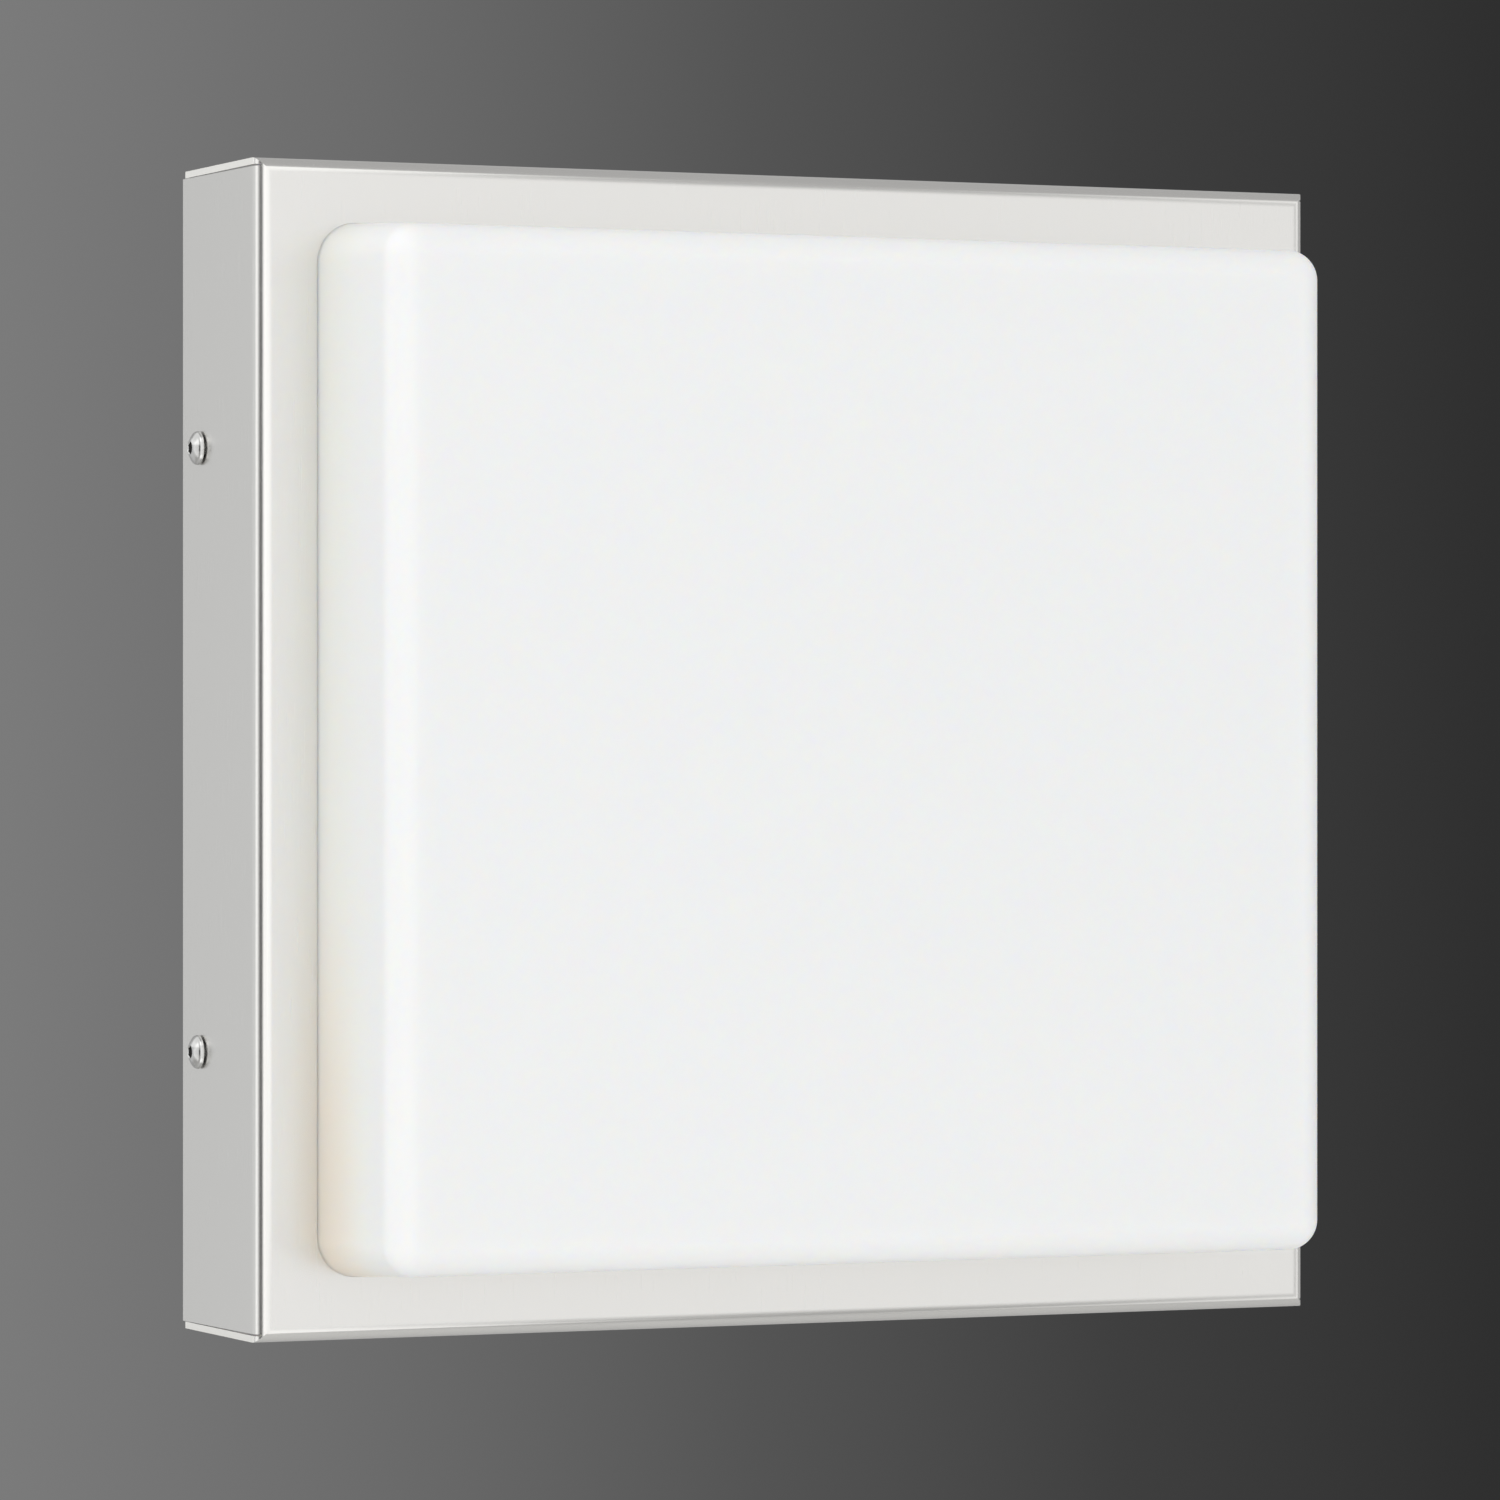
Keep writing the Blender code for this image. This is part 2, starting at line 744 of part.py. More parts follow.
def earth_point():
    lug_sheet = 0.0009
    washer_top = ON_PLATE - 2 * lug_sheet - GAP
    bm = bmesh.new()
    add_rod(bm, (EARTH_X, ON_PLATE - lug_sheet, 0), (EARTH_X, ON_PLATE, 0), 0.0045, 20)
    lug = link("earth_lug", to_mesh("earth_lug", bm), ZINC)
    barrel = bmesh.new()
    start = EARTH_X - 0.0035
    add_box(
        barrel,
        (start - 0.0040, ON_PLATE - lug_sheet, -0.0015),
        (start, ON_PLATE - PLAY, 0.0015),
    )
    join(lug, barrel)
    sleeve = bmesh.new()
    y = ON_PLATE - BARREL_RADIUS
    add_rod(sleeve, (EARTH_X - BARREL_END, y, 0), (EARTH_X - 0.0060, y, 0), BARREL_RADIUS)
    boolean(lug, "UNION", sleeve, "earth_lug_sleeve")
    hole = bmesh.new()
    add_rod(hole, (EARTH_X, SHEET, 0), (EARTH_X, -0.006, 0), M4 + GAP)
    cut(lug, hole)

    outlines = (arc((EARTH_X, 0), 0.0043, 0, 340, 17), arc((EARTH_X, 0), M4 + GAP, 0, 337.5, 15))
    plate("earth_washer", outlines, washer_top, washer_top + lug_sheet, ZINC)
    head = washer_top - GAP
    slotted_screw(
        "earth_screw", 0.0040, 0.0026, M4, -head - GAP, BRASS, **facing_out(EARTH_X, head, 0)
    )


def lamp_station(number, turn_about_y):
    """Lampholder, its bracket and its lamp, for the upper lamp, or turned for the lower."""
    station = empty(f"station_{number}", rotation=(0, turn_about_y, 0))
    back = -HOLDER_BASE - GAP
    outer = back - SHEET
    path = (
        (outer, ON_PLATE - HOLDER_UPRIGHT),
        (outer, ON_PLATE),
        (outer + HOLDER_FOOT, ON_PLATE),
    )
    bracket = folded(
        f"holder_bracket_{number}",
        path,
        SHEET,
        0.0025,
        HOLDER_FOOT_WIDTH,
        ZINC,
        parent=station,
        location=(0, 0, LAMP_Z),
    )
    holes = bmesh.new()
    letters = (("a", 1), ("b", -1))
    rivet_seat = ON_PLATE - SHEET - GAP
    for letter, side in letters:
        z = LAMP_Z + side * HOLDER_SCREW_SPREAD
        add_rod(holes, (outer - SHEET, LAMP_Y, z), (back + SHEET, LAMP_Y, z), M3 + GAP)
        slotted_screw(
            f"holder_screw_{number}{letter}",
            0.00275,
            0.0019,
            M3,
            0.0085,
            ZINC,
            parent=station,
            location=(outer - GAP, LAMP_Y, z),
            rotation=(0, -math.pi / 2, 0),
        )
        z = LAMP_Z + side * RIVET_SPREAD
        add_rod(holes, (RIVET_X, SHEET, z), (RIVET_X, rivet_seat - SHEET, z), RIVET_RADIUS + GAP)
        turned(
            f"holder_rivet_{number}{letter}",
            pan_head(0.0030, 0.0012, RIVET_RADIUS, -rivet_seat - GAP),
            ZINC,
            12,
            parent=station,
            **facing_out(RIVET_X, rivet_seat, z),
        )
    cut(bracket, holes, station)

    along_x = {"location": (-HOLDER_BASE, LAMP_Y, LAMP_Z), "rotation": (0, math.pi / 2, 0)}
    lampholder(number, station, along_x)
    axis = empty(
        f"lamp_{number}",
        (-HOLDER_BASE + LAMP_SEAT, LAMP_Y, LAMP_Z),
        (0, math.pi / 2, 0),
        station,
    )
    lamp(number, axis)


def lampholder(number, station, place):
    """Porcelain cup, brass screw shell and centre contact about the lamp's axis."""
    body = turned(
        f"lamp_holder_{number}",
        (
            (0.0, HOLDER_FLOOR),
            (HOLDER_BORE, HOLDER_FLOOR),
            (HOLDER_BORE, HOLDER_LENGTH - 0.001),
            (HOLDER_BORE + 0.001, HOLDER_LENGTH),
            (HOLDER_RADIUS - 0.0015, HOLDER_LENGTH),
            (HOLDER_RADIUS, HOLDER_LENGTH - 0.0015),
            (HOLDER_RADIUS, 0.0015),
            (HOLDER_RADIUS - 0.0015, 0.0),
            (0.0, 0.0),
        ),
        PORCELAIN,
        24,
        parent=station,
        **place,
    )
    cuts = bmesh.new()
    for sign in (1, -1):
        x = sign * HOLDER_SCREW_SPREAD
        add_rod(cuts, (x, 0, -SHEET), (x, 0, 0.0080), M3 + GAP)
        y = sign * WIRE_HOLE_SPREAD
        chord = math.sqrt(HOLDER_RADIUS**2 - WIRE_HOLE_SPREAD**2)
        z = WIRE_HOLE_HEIGHT
        start = (chord - WIRE_HOLE_DEPTH, y, z)
        add_rod(cuts, start, (HOLDER_RADIUS + SHEET, y, z), WIRE_RADIUS + 0.0004, 10)
    cut(body, cuts, body)
    low = HOLDER_FLOOR + GAP
    outer = HOLDER_BORE - 0.0005
    inner = outer - 0.0008
    turned(
        f"holder_shell_{number}",
        (
            (inner, 0.0400),
            (outer, 0.0400),
            (outer, low),
            (0.0080, low),
            (0.0080, low + 0.0008),
            (inner, low + 0.0008),
        ),
        BRASS,
        24,
        parent=station,
        **place,
    )
    turned(
        f"holder_contact_{number}",
        ((0.0, low + 0.0021), (0.0035, low + 0.0019), (0.0050, low + 0.0008), (0.0050, low), (0.0, low)),
        BRASS,
        12,
        parent=station,
        **place,
    )


def lamp(number, axis):
    """A retrofit LED lamp that unscrews about its axis."""
    turned(
        f"lamp_contact_{number}",
        ((0.0, 0.0022), (0.0042, 0.0022), (0.0042, 0.0012), (0.0025, 0.0), (0.0, 0.0)),
        NICKEL,
        12,
        parent=axis,
    )
    turned(
        f"lamp_cap_{number}",
        (
            (0.0, CAP_LENGTH),
            (CAP_RADIUS, CAP_LENGTH),
            (CAP_RADIUS, 0.0055),
            (0.0100, 0.0035),
            (0.0060, 0.0025),
            (0.0, 0.0025),
        ),
        NICKEL,
        24,
        parent=axis,
    )
    low = CAP_LENGTH + GAP
    centre = LAMP_LENGTH - LAMP_RADIUS
    joint_angle = math.degrees(math.asin((LAMP_JOINT - centre) / LAMP_RADIUS))
    joint_radius = LAMP_RADIUS * math.cos(math.radians(joint_angle))
    turned(
        f"lamp_housing_{number}",
        (
            (0.0, LAMP_JOINT - GAP),
            (joint_radius - 0.0003, LAMP_JOINT - GAP),
            (0.0215, 0.0500),
            (0.0170, 0.0360),
            (0.0148, 0.0290),
            (0.0143, low),
            (0.0, low),
        ),
        LAMP_WHITE,
        24,
        parent=axis,
    )
    dome = arc((0.0, centre), LAMP_RADIUS, 90, joint_angle, 7)
    inner_radius = LAMP_RADIUS - GLOBE_WALL
    inner_angle = math.degrees(math.asin((LAMP_JOINT - centre) / inner_radius))
    hollow = arc((0.0, centre), inner_radius, inner_angle, 90, 6)
    dome[0] = (0.0, LAMP_LENGTH)
    hollow[-1] = (0.0, LAMP_LENGTH - GLOBE_WALL)
    turned(f"lamp_globe_{number}", [*dome, *hollow], DIFFUSER, 24, parent=axis)


def smooth_route(points, steps=2):
    """Catmull-Rom points through a hand-laid route."""
    route = [2 * points[0] - points[1], *points, 2 * points[-1] - points[-2]]
    result = []
    for i in range(1, len(route) - 2):
        a, b, c, d = route[i - 1 : i + 3]
        for step in range(steps):
            t = step / steps
            result.append(
                0.5
                * (
                    2 * b
                    + (c - a) * t
                    + (2 * a - 5 * b + 4 * c - d) * t**2
                    + (3 * b - a - 3 * c + d) * t**3
                )
            )
    return [*result, points[-1]]


def wire(name, points, material):
    curve = bpy.data.curves.new(name, "CURVE")
    curve.dimensions = "3D"
    curve.bevel_depth = WIRE_RADIUS
    curve.bevel_resolution = 2
    curve.use_fill_caps = True
    route = smooth_route([Vector(point) for point in points])
    spline = curve.splines.new("POLY")
    spline.points.add(len(route) - 1)
    for point, place in zip(spline.points, route):
        point.co = (*place, 1.0)
    return link(name, curve, material)


def wiring():
    """Two conductors to each lampholder and the earth wire, from the terminal block."""
    start = TERMINAL_X + CLAMP_HALF + GAP
    clear = TERMINAL_X + TERMINAL_HALF[0] + 0.004
    low_y = ON_PLATE - 0.0028
    live = POLE_PITCH
    neutral = -POLE_PITCH
    holder_x = HOLDER_BASE - WIRE_HOLE_HEIGHT
    near_y = LAMP_Y + WIRE_HOLE_SPREAD
    far_y = LAMP_Y - WIRE_HOLE_SPREAD
    chord = math.sqrt(HOLDER_RADIUS**2 - WIRE_HOLE_SPREAD**2)
    inlet = LAMP_Z - chord - 0.003
    end = LAMP_Z - chord + WIRE_HOLE_DEPTH - 2 * GAP
    wire(
        "wire_live_1",
        (
            (start, POLE_Y, live + WIRE_PAIR),
            (clear, POLE_Y, live + WIRE_PAIR),
            (clear + 0.0050, POLE_Y + 0.001, live + 0.0050),
            (clear, low_y, 0.0200),
            (0.0, low_y, 0.0215),
            (-0.045, low_y, 0.0205),
            (-0.080, low_y - 0.001, 0.0195),
            (-holder_x + 0.002, low_y - 0.0130, 0.0215),
            (-holder_x, near_y + 0.003, inlet - 0.004),
            (-holder_x, near_y, inlet),
            (-holder_x, near_y, end),
        ),
        BROWN,
    )
    wire(
        "wire_neutral_1",
        (
            (start, POLE_Y, neutral + WIRE_PAIR),
            (clear, POLE_Y, neutral + WIRE_PAIR),
            (clear + 0.0090, low_y, neutral + 0.0060),
            (clear + 0.0105, low_y, 0.0060),
            (clear + 0.0085, low_y, 0.0180),
            (clear - 0.006, low_y, 0.0250),
            (-0.010, low_y, 0.0260),
            (-0.050, low_y, 0.0245),
            (-0.076, low_y - 0.003, 0.0245),
            (-holder_x + 0.003, low_y - 0.024, 0.0250),
            (-holder_x, far_y + 0.006, inlet - 0.005),
            (-holder_x, far_y, inlet),
            (-holder_x, far_y, end),
        ),
        BLUE,
    )
    wire(
        "wire_live_2",
        (
            (start, POLE_Y, live - WIRE_PAIR),
            (clear, POLE_Y, live - WIRE_PAIR),
            (clear + 0.010, POLE_Y + 0.0005, live - 0.0005),
            (EARTH_X - 0.008, low_y, 0.0120),
            (EARTH_X + 0.008, low_y, 0.0085),
            (EARTH_X + 0.016, low_y - 0.002, -0.004),
            (holder_x - 0.003, low_y - 0.012, -0.0170),
            (holder_x, near_y + 0.004, -inlet + 0.004),
            (holder_x, near_y, -inlet),
            (holder_x, near_y, -end),
        ),
        BROWN,
    )
    wire(
        "wire_neutral_2",
        (
            (start, POLE_Y, neutral - WIRE_PAIR),
            (clear, POLE_Y, neutral - WIRE_PAIR),
            (clear + 0.012, low_y, neutral - 0.0030),
            (EARTH_X - 0.002, low_y, -0.0175),
            (EARTH_X + 0.010, low_y - 0.005, -0.0205),
            (holder_x - 0.004, low_y - 0.024, -0.0240),
            (holder_x, far_y + 0.006, -inlet + 0.005),
            (holder_x, far_y, -inlet),
            (holder_x, far_y, -end),
        ),
        BLUE,
    )
    wire(
        "wire_earth",
        (
            (start, POLE_Y, 0.0),
            (clear, POLE_Y, 0.0),
            (clear + 0.010, POLE_Y + 0.0005, 0.0),
            (clear + 0.018, ON_PLATE - BARREL_RADIUS - 0.0012, 0.0),
            (EARTH_X - BARREL_END - 0.004, ON_PLATE - BARREL_RADIUS, 0.0),
            (EARTH_X - BARREL_END - GAP, ON_PLATE - BARREL_RADIUS, 0.0),
        ),
        GREEN,
    )


# ---------------------------------------------------------------- assembly


def main():
    cover = empty("cover")
    cover_frame(cover)
    opal_glass(cover)
    glass_gasket(cover)
    glass_clips(cover)
    nut_bars(cover)
    side_screws(cover)
    wall_bracket()
    cable_grommet()
    terminal_block()
    earth_point()
    lamp_station(1, 0.0)
    lamp_station(2, math.pi)
    wiring()


main()
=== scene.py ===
"""Looks of the square stainless-steel wall light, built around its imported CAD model.

Lengths are in metres. The light faces -Y on the wall plane y = 0, with +Z up.
"""

import json
import math

import bmesh
import bpy
from mathutils import Matrix, Vector

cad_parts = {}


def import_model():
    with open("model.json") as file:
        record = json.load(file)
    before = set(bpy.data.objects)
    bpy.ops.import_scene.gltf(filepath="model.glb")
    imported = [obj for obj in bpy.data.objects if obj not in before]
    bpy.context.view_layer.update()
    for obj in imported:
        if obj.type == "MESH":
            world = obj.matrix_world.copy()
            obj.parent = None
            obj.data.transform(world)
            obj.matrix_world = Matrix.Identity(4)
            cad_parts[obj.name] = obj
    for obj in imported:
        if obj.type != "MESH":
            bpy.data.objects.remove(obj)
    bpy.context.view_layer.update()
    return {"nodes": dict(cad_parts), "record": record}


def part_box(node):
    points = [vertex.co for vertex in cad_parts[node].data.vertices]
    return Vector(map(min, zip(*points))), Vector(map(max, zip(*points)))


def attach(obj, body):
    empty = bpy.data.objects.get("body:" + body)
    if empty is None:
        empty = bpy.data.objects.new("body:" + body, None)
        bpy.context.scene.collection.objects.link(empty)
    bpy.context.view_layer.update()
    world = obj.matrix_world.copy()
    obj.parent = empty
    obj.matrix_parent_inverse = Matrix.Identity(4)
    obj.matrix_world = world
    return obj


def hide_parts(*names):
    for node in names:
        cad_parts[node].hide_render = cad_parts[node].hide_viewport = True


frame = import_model()
NODES = frame["nodes"]
BODY_OF = {
    node: body for body, nodes in frame["record"]["behaviour"]["bodies"].items() for node in nodes
}
SLOT_OF = {row["node"]: row["material_slot"] for row in frame["record"]["subparts"]}

# ---------------------------------------------------------------- sizes

COVER_LOW, COVER_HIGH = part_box("cover_frame")
HALF = COVER_HIGH.x
FRONT = COVER_LOW.y
BACK = COVER_HIGH.y
SHEET = 0.0015
BEND = 0.0035
SEAM_FRONT = 0.00040
SEAM_BACK = 0.00008
HAIRLINE = (0.0470, 0.00012, 0.00030)
NOTCH = (0.0030, 0.0016)
INSIDE = HALF - SHEET
FRONT_INSIDE = FRONT + SHEET
BEND_STEPS = 12
SIDES = (-1, 1)
CORNERS = tuple((sx, sz) for sx in SIDES for sz in SIDES)

GLASS_LOW, GLASS_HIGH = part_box("opal_glass")
GLASS_FLANGE = 0.006
GLASS_RIM = GLASS_HIGH.x
GLASS_HALF = GLASS_RIM - GLASS_FLANGE
GLASS_DRAFT = 0.0622
GLASS_WALL = 0.004
GLASS_CORNER = 0.0090
GLASS_EDGE = 0.0060
OPENING_GAP = 0.00003
OPENING_CHAMFER = 0.00002
CORNER_STEPS = 14

SCREW_LOW, SCREW_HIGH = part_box("side_screw_left_upper")
SCREW_Y = (SCREW_LOW.y + SCREW_HIGH.y) / 2
SCREW_Z = (SCREW_LOW.z + SCREW_HIGH.z) / 2
SCREW_RADIUS = 0.002
SCREW_HOLE = 0.00245
STUD_RADIUS = 0.0015
STUD_LENGTH = 0.0105

HOLDER_LOW, HOLDER_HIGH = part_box("lamp_holder_1")
HOLDER_RADIUS = (HOLDER_HIGH.z - HOLDER_LOW.z) / 2
HOLDER_LENGTH = HOLDER_HIGH.x - HOLDER_LOW.x
LAMP_Y = (HOLDER_LOW.y + HOLDER_HIGH.y) / 2
LAMP_Z = (HOLDER_LOW.z + HOLDER_HIGH.z) / 2
LAMP_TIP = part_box("lamp_contact_1")[0].x
THREAD_PITCH = 0.00363
ROUND_STEPS = 64
WIRE_THINNING = 0.00010

MERGE = 1e-7
COPY_MERGE = 1e-6
WELD_GAP = 5e-6

# ---------------------------------------------------------------- camera

CAMERA_PLACE = Vector((-0.6786, -1.5462, 0.0))
CAMERA_AZIMUTH = math.radians(-24.0)
CAMERA_LENS = 174.4


def camera():
    data = bpy.data.cameras.new("camera")
    data.sensor_width = 36.0
    data.lens = CAMERA_LENS
    data.clip_start = 0.05
    data.clip_end = 60.0
    obj = bpy.data.objects.new("camera", data)
    bpy.context.scene.collection.objects.link(obj)
    obj.location = CAMERA_PLACE
    obj.rotation_euler = (math.pi / 2, 0.0, CAMERA_AZIMUTH)
    bpy.context.scene.camera = obj


# ---------------------------------------------------------------- materials


class Nodes:
    """A short way to write a shader's node tree."""

    def __init__(self, name):
        self.material = bpy.data.materials.new(name)
        self.material.use_nodes = True
        self.tree = self.material.node_tree
        self.shader = self.tree.nodes["Principled BSDF"]

    def add(self, kind, links=None, **settings):
        node = self.tree.nodes.new(kind)
        for key, value in settings.items():
            setattr(node, key, value)
        for socket, value in (links or {}).items():
            self.put(node.inputs[socket], value)
        return node

    def put(self, socket, value):
        if isinstance(value, bpy.types.NodeSocket):
            self.tree.links.new(value, socket)
        else:
            socket.default_value = value

    def set(self, **values):
        for key, value in values.items():
            self.put(self.shader.inputs[key.replace("_", " ")], value)

    def places(self, scale=(1, 1, 1)):
        """Object coordinates, stretched by scale."""
        coords = self.add("ShaderNodeTexCoord")
        mapping = self.add("ShaderNodeMapping", {"Vector": coords.outputs["Object"]})
        mapping.inputs["Scale"].default_value = scale
        return mapping.outputs["Vector"]

    def noise(self, vector, scale, detail=4.0, roughness=0.5):
        node = self.add(
            "ShaderNodeTexNoise",
            {"Vector": vector, "Scale": scale, "Detail": detail, "Roughness": roughness},
        )
        return node.outputs["Fac"]

    def spread(self, value, low, high):
        """Maps 0..1 noise to low..high."""
        node = self.add(
            "ShaderNodeMapRange",
            {"Value": value, "From Min": 0.25, "From Max": 0.75, "To Min": low, "To Max": high},
        )
        return node.outputs["Result"]

    def ramp(self, value, start, end):
        """A smooth step from start to end, each a (value, result) pair."""
        node = self.add("ShaderNodeMapRange", interpolation_type="SMOOTHSTEP")
        links = {"Value": value, "From Min": start[0], "To Min": start[1]}
        links.update({"From Max": end[0], "To Max": end[1]})
        for socket, link in links.items():
            self.put(node.inputs[socket], link)
        return node.outputs["Result"]

    def between(self, value, first, second):
        """first where value is 0 and second where it is 1; each a colour or a socket."""
        node = self.add("ShaderNodeMix", data_type="RGBA")
        sockets = {s.name: s for s in node.inputs if s.enabled}
        self.put(sockets["Factor"], value)
        for name, colour in (("A", first), ("B", second)):
            self.put(sockets[name], (*colour, 1.0) if isinstance(colour, tuple) else colour)
        return next(s for s in node.outputs if s.enabled)

    def bump(self, height, distance, strength=1.0):
        node = self.add(
            "ShaderNodeBump", {"Height": height, "Distance": distance, "Strength": strength}
        )
        return node.outputs["Normal"]


def brushed_stainless():
    """Fine satin grain that runs up and down the sheet."""
    n = Nodes("brushed_stainless")
    streaks = n.noise(n.places((1.0, 1.0, 0.012)), 5200.0, 3.0, 0.6)
    cloud = n.noise(n.places((1.0, 1.0, 0.35)), 9.0, 3.0, 0.5)
    n.set(
        Base_Color=n.between(cloud, (0.785, 0.775, 0.752), (0.805, 0.796, 0.774)),
        Metallic=1.0,
        Roughness=n.spread(streaks, 0.23, 0.28),
        Normal=n.bump(streaks, 0.000002, 0.2),
    )
    return n.material


def sheared_edge():
    """The cut ends of the sheet, duller than its faces."""
    n = Nodes("sheared_edge")
    grain = n.noise(n.places((0.05, 1.0, 1.0)), 2400.0, 3.0, 0.6)
    n.set(
        Base_Color=n.between(grain, (0.90, 0.89, 0.86), (0.93, 0.92, 0.89)),
        Metallic=1.0,
        Roughness=n.spread(grain, 0.52, 0.62),
        Normal=n.bump(grain, 0.000006, 0.3),
    )
    return n.material


def opal():
    """White opal glass with a satin-etched outside, and painted warm shade that darkens its foot
    near the plate, more towards the bottom.
    """
    n = Nodes("opal_glass")
    cloud = n.noise(n.places(), 14.0, 2.0, 0.4)
    grain = n.noise(n.places(), 2600.0, 2.0, 0.5)
    white = n.between(cloud, (0.962, 0.951, 0.908), (0.970, 0.960, 0.920))
    place = n.add("ShaderNodeSeparateXYZ", {"Vector": n.places()})
    # painted shade: the colour is darkened and warmed near the plate and towards the bottom,
    # standing for shade and warm bounce light
    foot = n.ramp(place.outputs["Y"], (FRONT - 0.034, 0.0), (FRONT, 1.0))
    low = n.ramp(place.outputs["Z"], (-0.010, 0.27), (-0.110, 1.0))
    painted_foot_shade = n.add("ShaderNodeMath", {0: foot, 1: low}, operation="MULTIPLY")
    n.set(
        Base_Color=n.between(painted_foot_shade.outputs["Value"], white, (0.86, 0.77, 0.66)),
        Roughness=n.spread(grain, 0.42, 0.52),
        Normal=n.bump(grain, 0.000004, 0.25),
    )
    n.shader.inputs["Subsurface Weight"].default_value = 1.0
    n.shader.inputs["Subsurface Radius"].default_value = (1.0, 0.85, 0.66)
    n.shader.inputs["Subsurface Scale"].default_value = 0.004
    n.shader.inputs["IOR"].default_value = 1.5
    return n.material


def plain(name, first, second, roughness, metallic=0.0, scale=160.0, depth=0.00002):
    """Moulded, plated or cast finishes with their own fine unevenness."""
    n = Nodes(name)
    cloud = n.noise(n.places(), scale / 6, 3.0, 0.55)
    grain = n.noise(n.places(), scale * 8, 3.0, 0.5)
    n.set(
        Base_Color=n.between(cloud, first, second),
        Metallic=metallic,
        Roughness=n.spread(grain, roughness - 0.05, roughness + 0.05),
        Normal=n.bump(grain, depth, 0.3),
    )
    return n.material


def striped_insulation():
    """Green insulation with a yellow stripe along its upper side."""
    n = Nodes("green_yellow")
    low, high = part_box("wire_earth")
    middle = (low.z + high.z) / 2
    place = n.add("ShaderNodeSeparateXYZ", {"Vector": n.places()})
    stripe = n.ramp(place.outputs["Z"], (middle, 0.0), (middle + 0.00015, 1.0))
    grain = n.noise(n.places(), 1300.0, 3.0, 0.5)
    n.set(
        Base_Color=n.between(stripe, (0.06, 0.30, 0.04), (0.75, 0.60, 0.04)),
        Roughness=n.spread(grain, 0.38, 0.48),
    )
    return n.material


LOOKS = {
    "brushed_stainless": brushed_stainless(),
    "opal_glass": opal(),
    "zinc_plated_steel": plain("zinc", (0.52, 0.54, 0.57), (0.60, 0.61, 0.62), 0.34, 1.0),
    "brass": plain("brass", (0.72, 0.53, 0.25), (0.76, 0.58, 0.31), 0.27, 1.0),
    "nickel_plated_brass": plain("nickel", (0.66, 0.64, 0.60), (0.70, 0.68, 0.64), 0.22, 1.0),
    "white_silicone": plain("silicone", (0.76, 0.76, 0.74), (0.80, 0.80, 0.78), 0.6),
    "black_rubber": plain("rubber", (0.020, 0.020, 0.021), (0.032, 0.032, 0.032), 0.62),
    "porcelain": plain("porcelain", (0.84, 0.82, 0.78), (0.88, 0.86, 0.82), 0.16, depth=0.00003),
    "white_nylon": plain("nylon", (0.80, 0.80, 0.77), (0.84, 0.84, 0.81), 0.45),
    "lamp_diffuser": plain("diffuser", (0.90, 0.90, 0.88), (0.93, 0.93, 0.91), 0.42),
    "lamp_housing_white": plain("lamp_white", (0.84, 0.84, 0.84), (0.87, 0.87, 0.87), 0.38),
    "brown_insulation": plain("brown", (0.13, 0.055, 0.022), (0.17, 0.075, 0.032), 0.42),
    "blue_insulation": plain("blue", (0.03, 0.10, 0.38), (0.045, 0.13, 0.45), 0.42),
    "green_yellow_insulation": striped_insulation(),
}
SCREW_STEEL = plain("screw_steel", (0.54, 0.54, 0.53), (0.59, 0.59, 0.58), 0.20, 1.0)
# painted shade: a near-black material standing for the shadow deep inside the hexagon sockets
SOCKET_SHADE = plain("socket_shade", (0.030, 0.030, 0.030), (0.050, 0.050, 0.048), 0.7)

# ---------------------------------------------------------------- lights and stage

WORLD_LEVEL = 0.48
FLAG_LEVEL = 0.04
FLAG_AZIMUTH = math.radians(27)
FLAG_OUTER = math.radians(16.5)
FLAG_INNER = math.radians(11.5)
NEUTRAL = (1.0, 1.0, 1.0)
COOL = (0.95, 0.98, 1.0)
WARM = (1.0, 0.96, 0.90)
RIGHT_OF_VIEW = Vector((math.cos(CAMERA_AZIMUTH), math.sin(CAMERA_AZIMUTH), 0.0))
BACKDROP = (
    (0.0, 0.19),
    (0.397, 0.198),
    (0.45, 0.147),
    (0.5, 0.090),
    (0.55, 0.050),
    (0.603, 0.028),
    (0.8, 0.10),
)


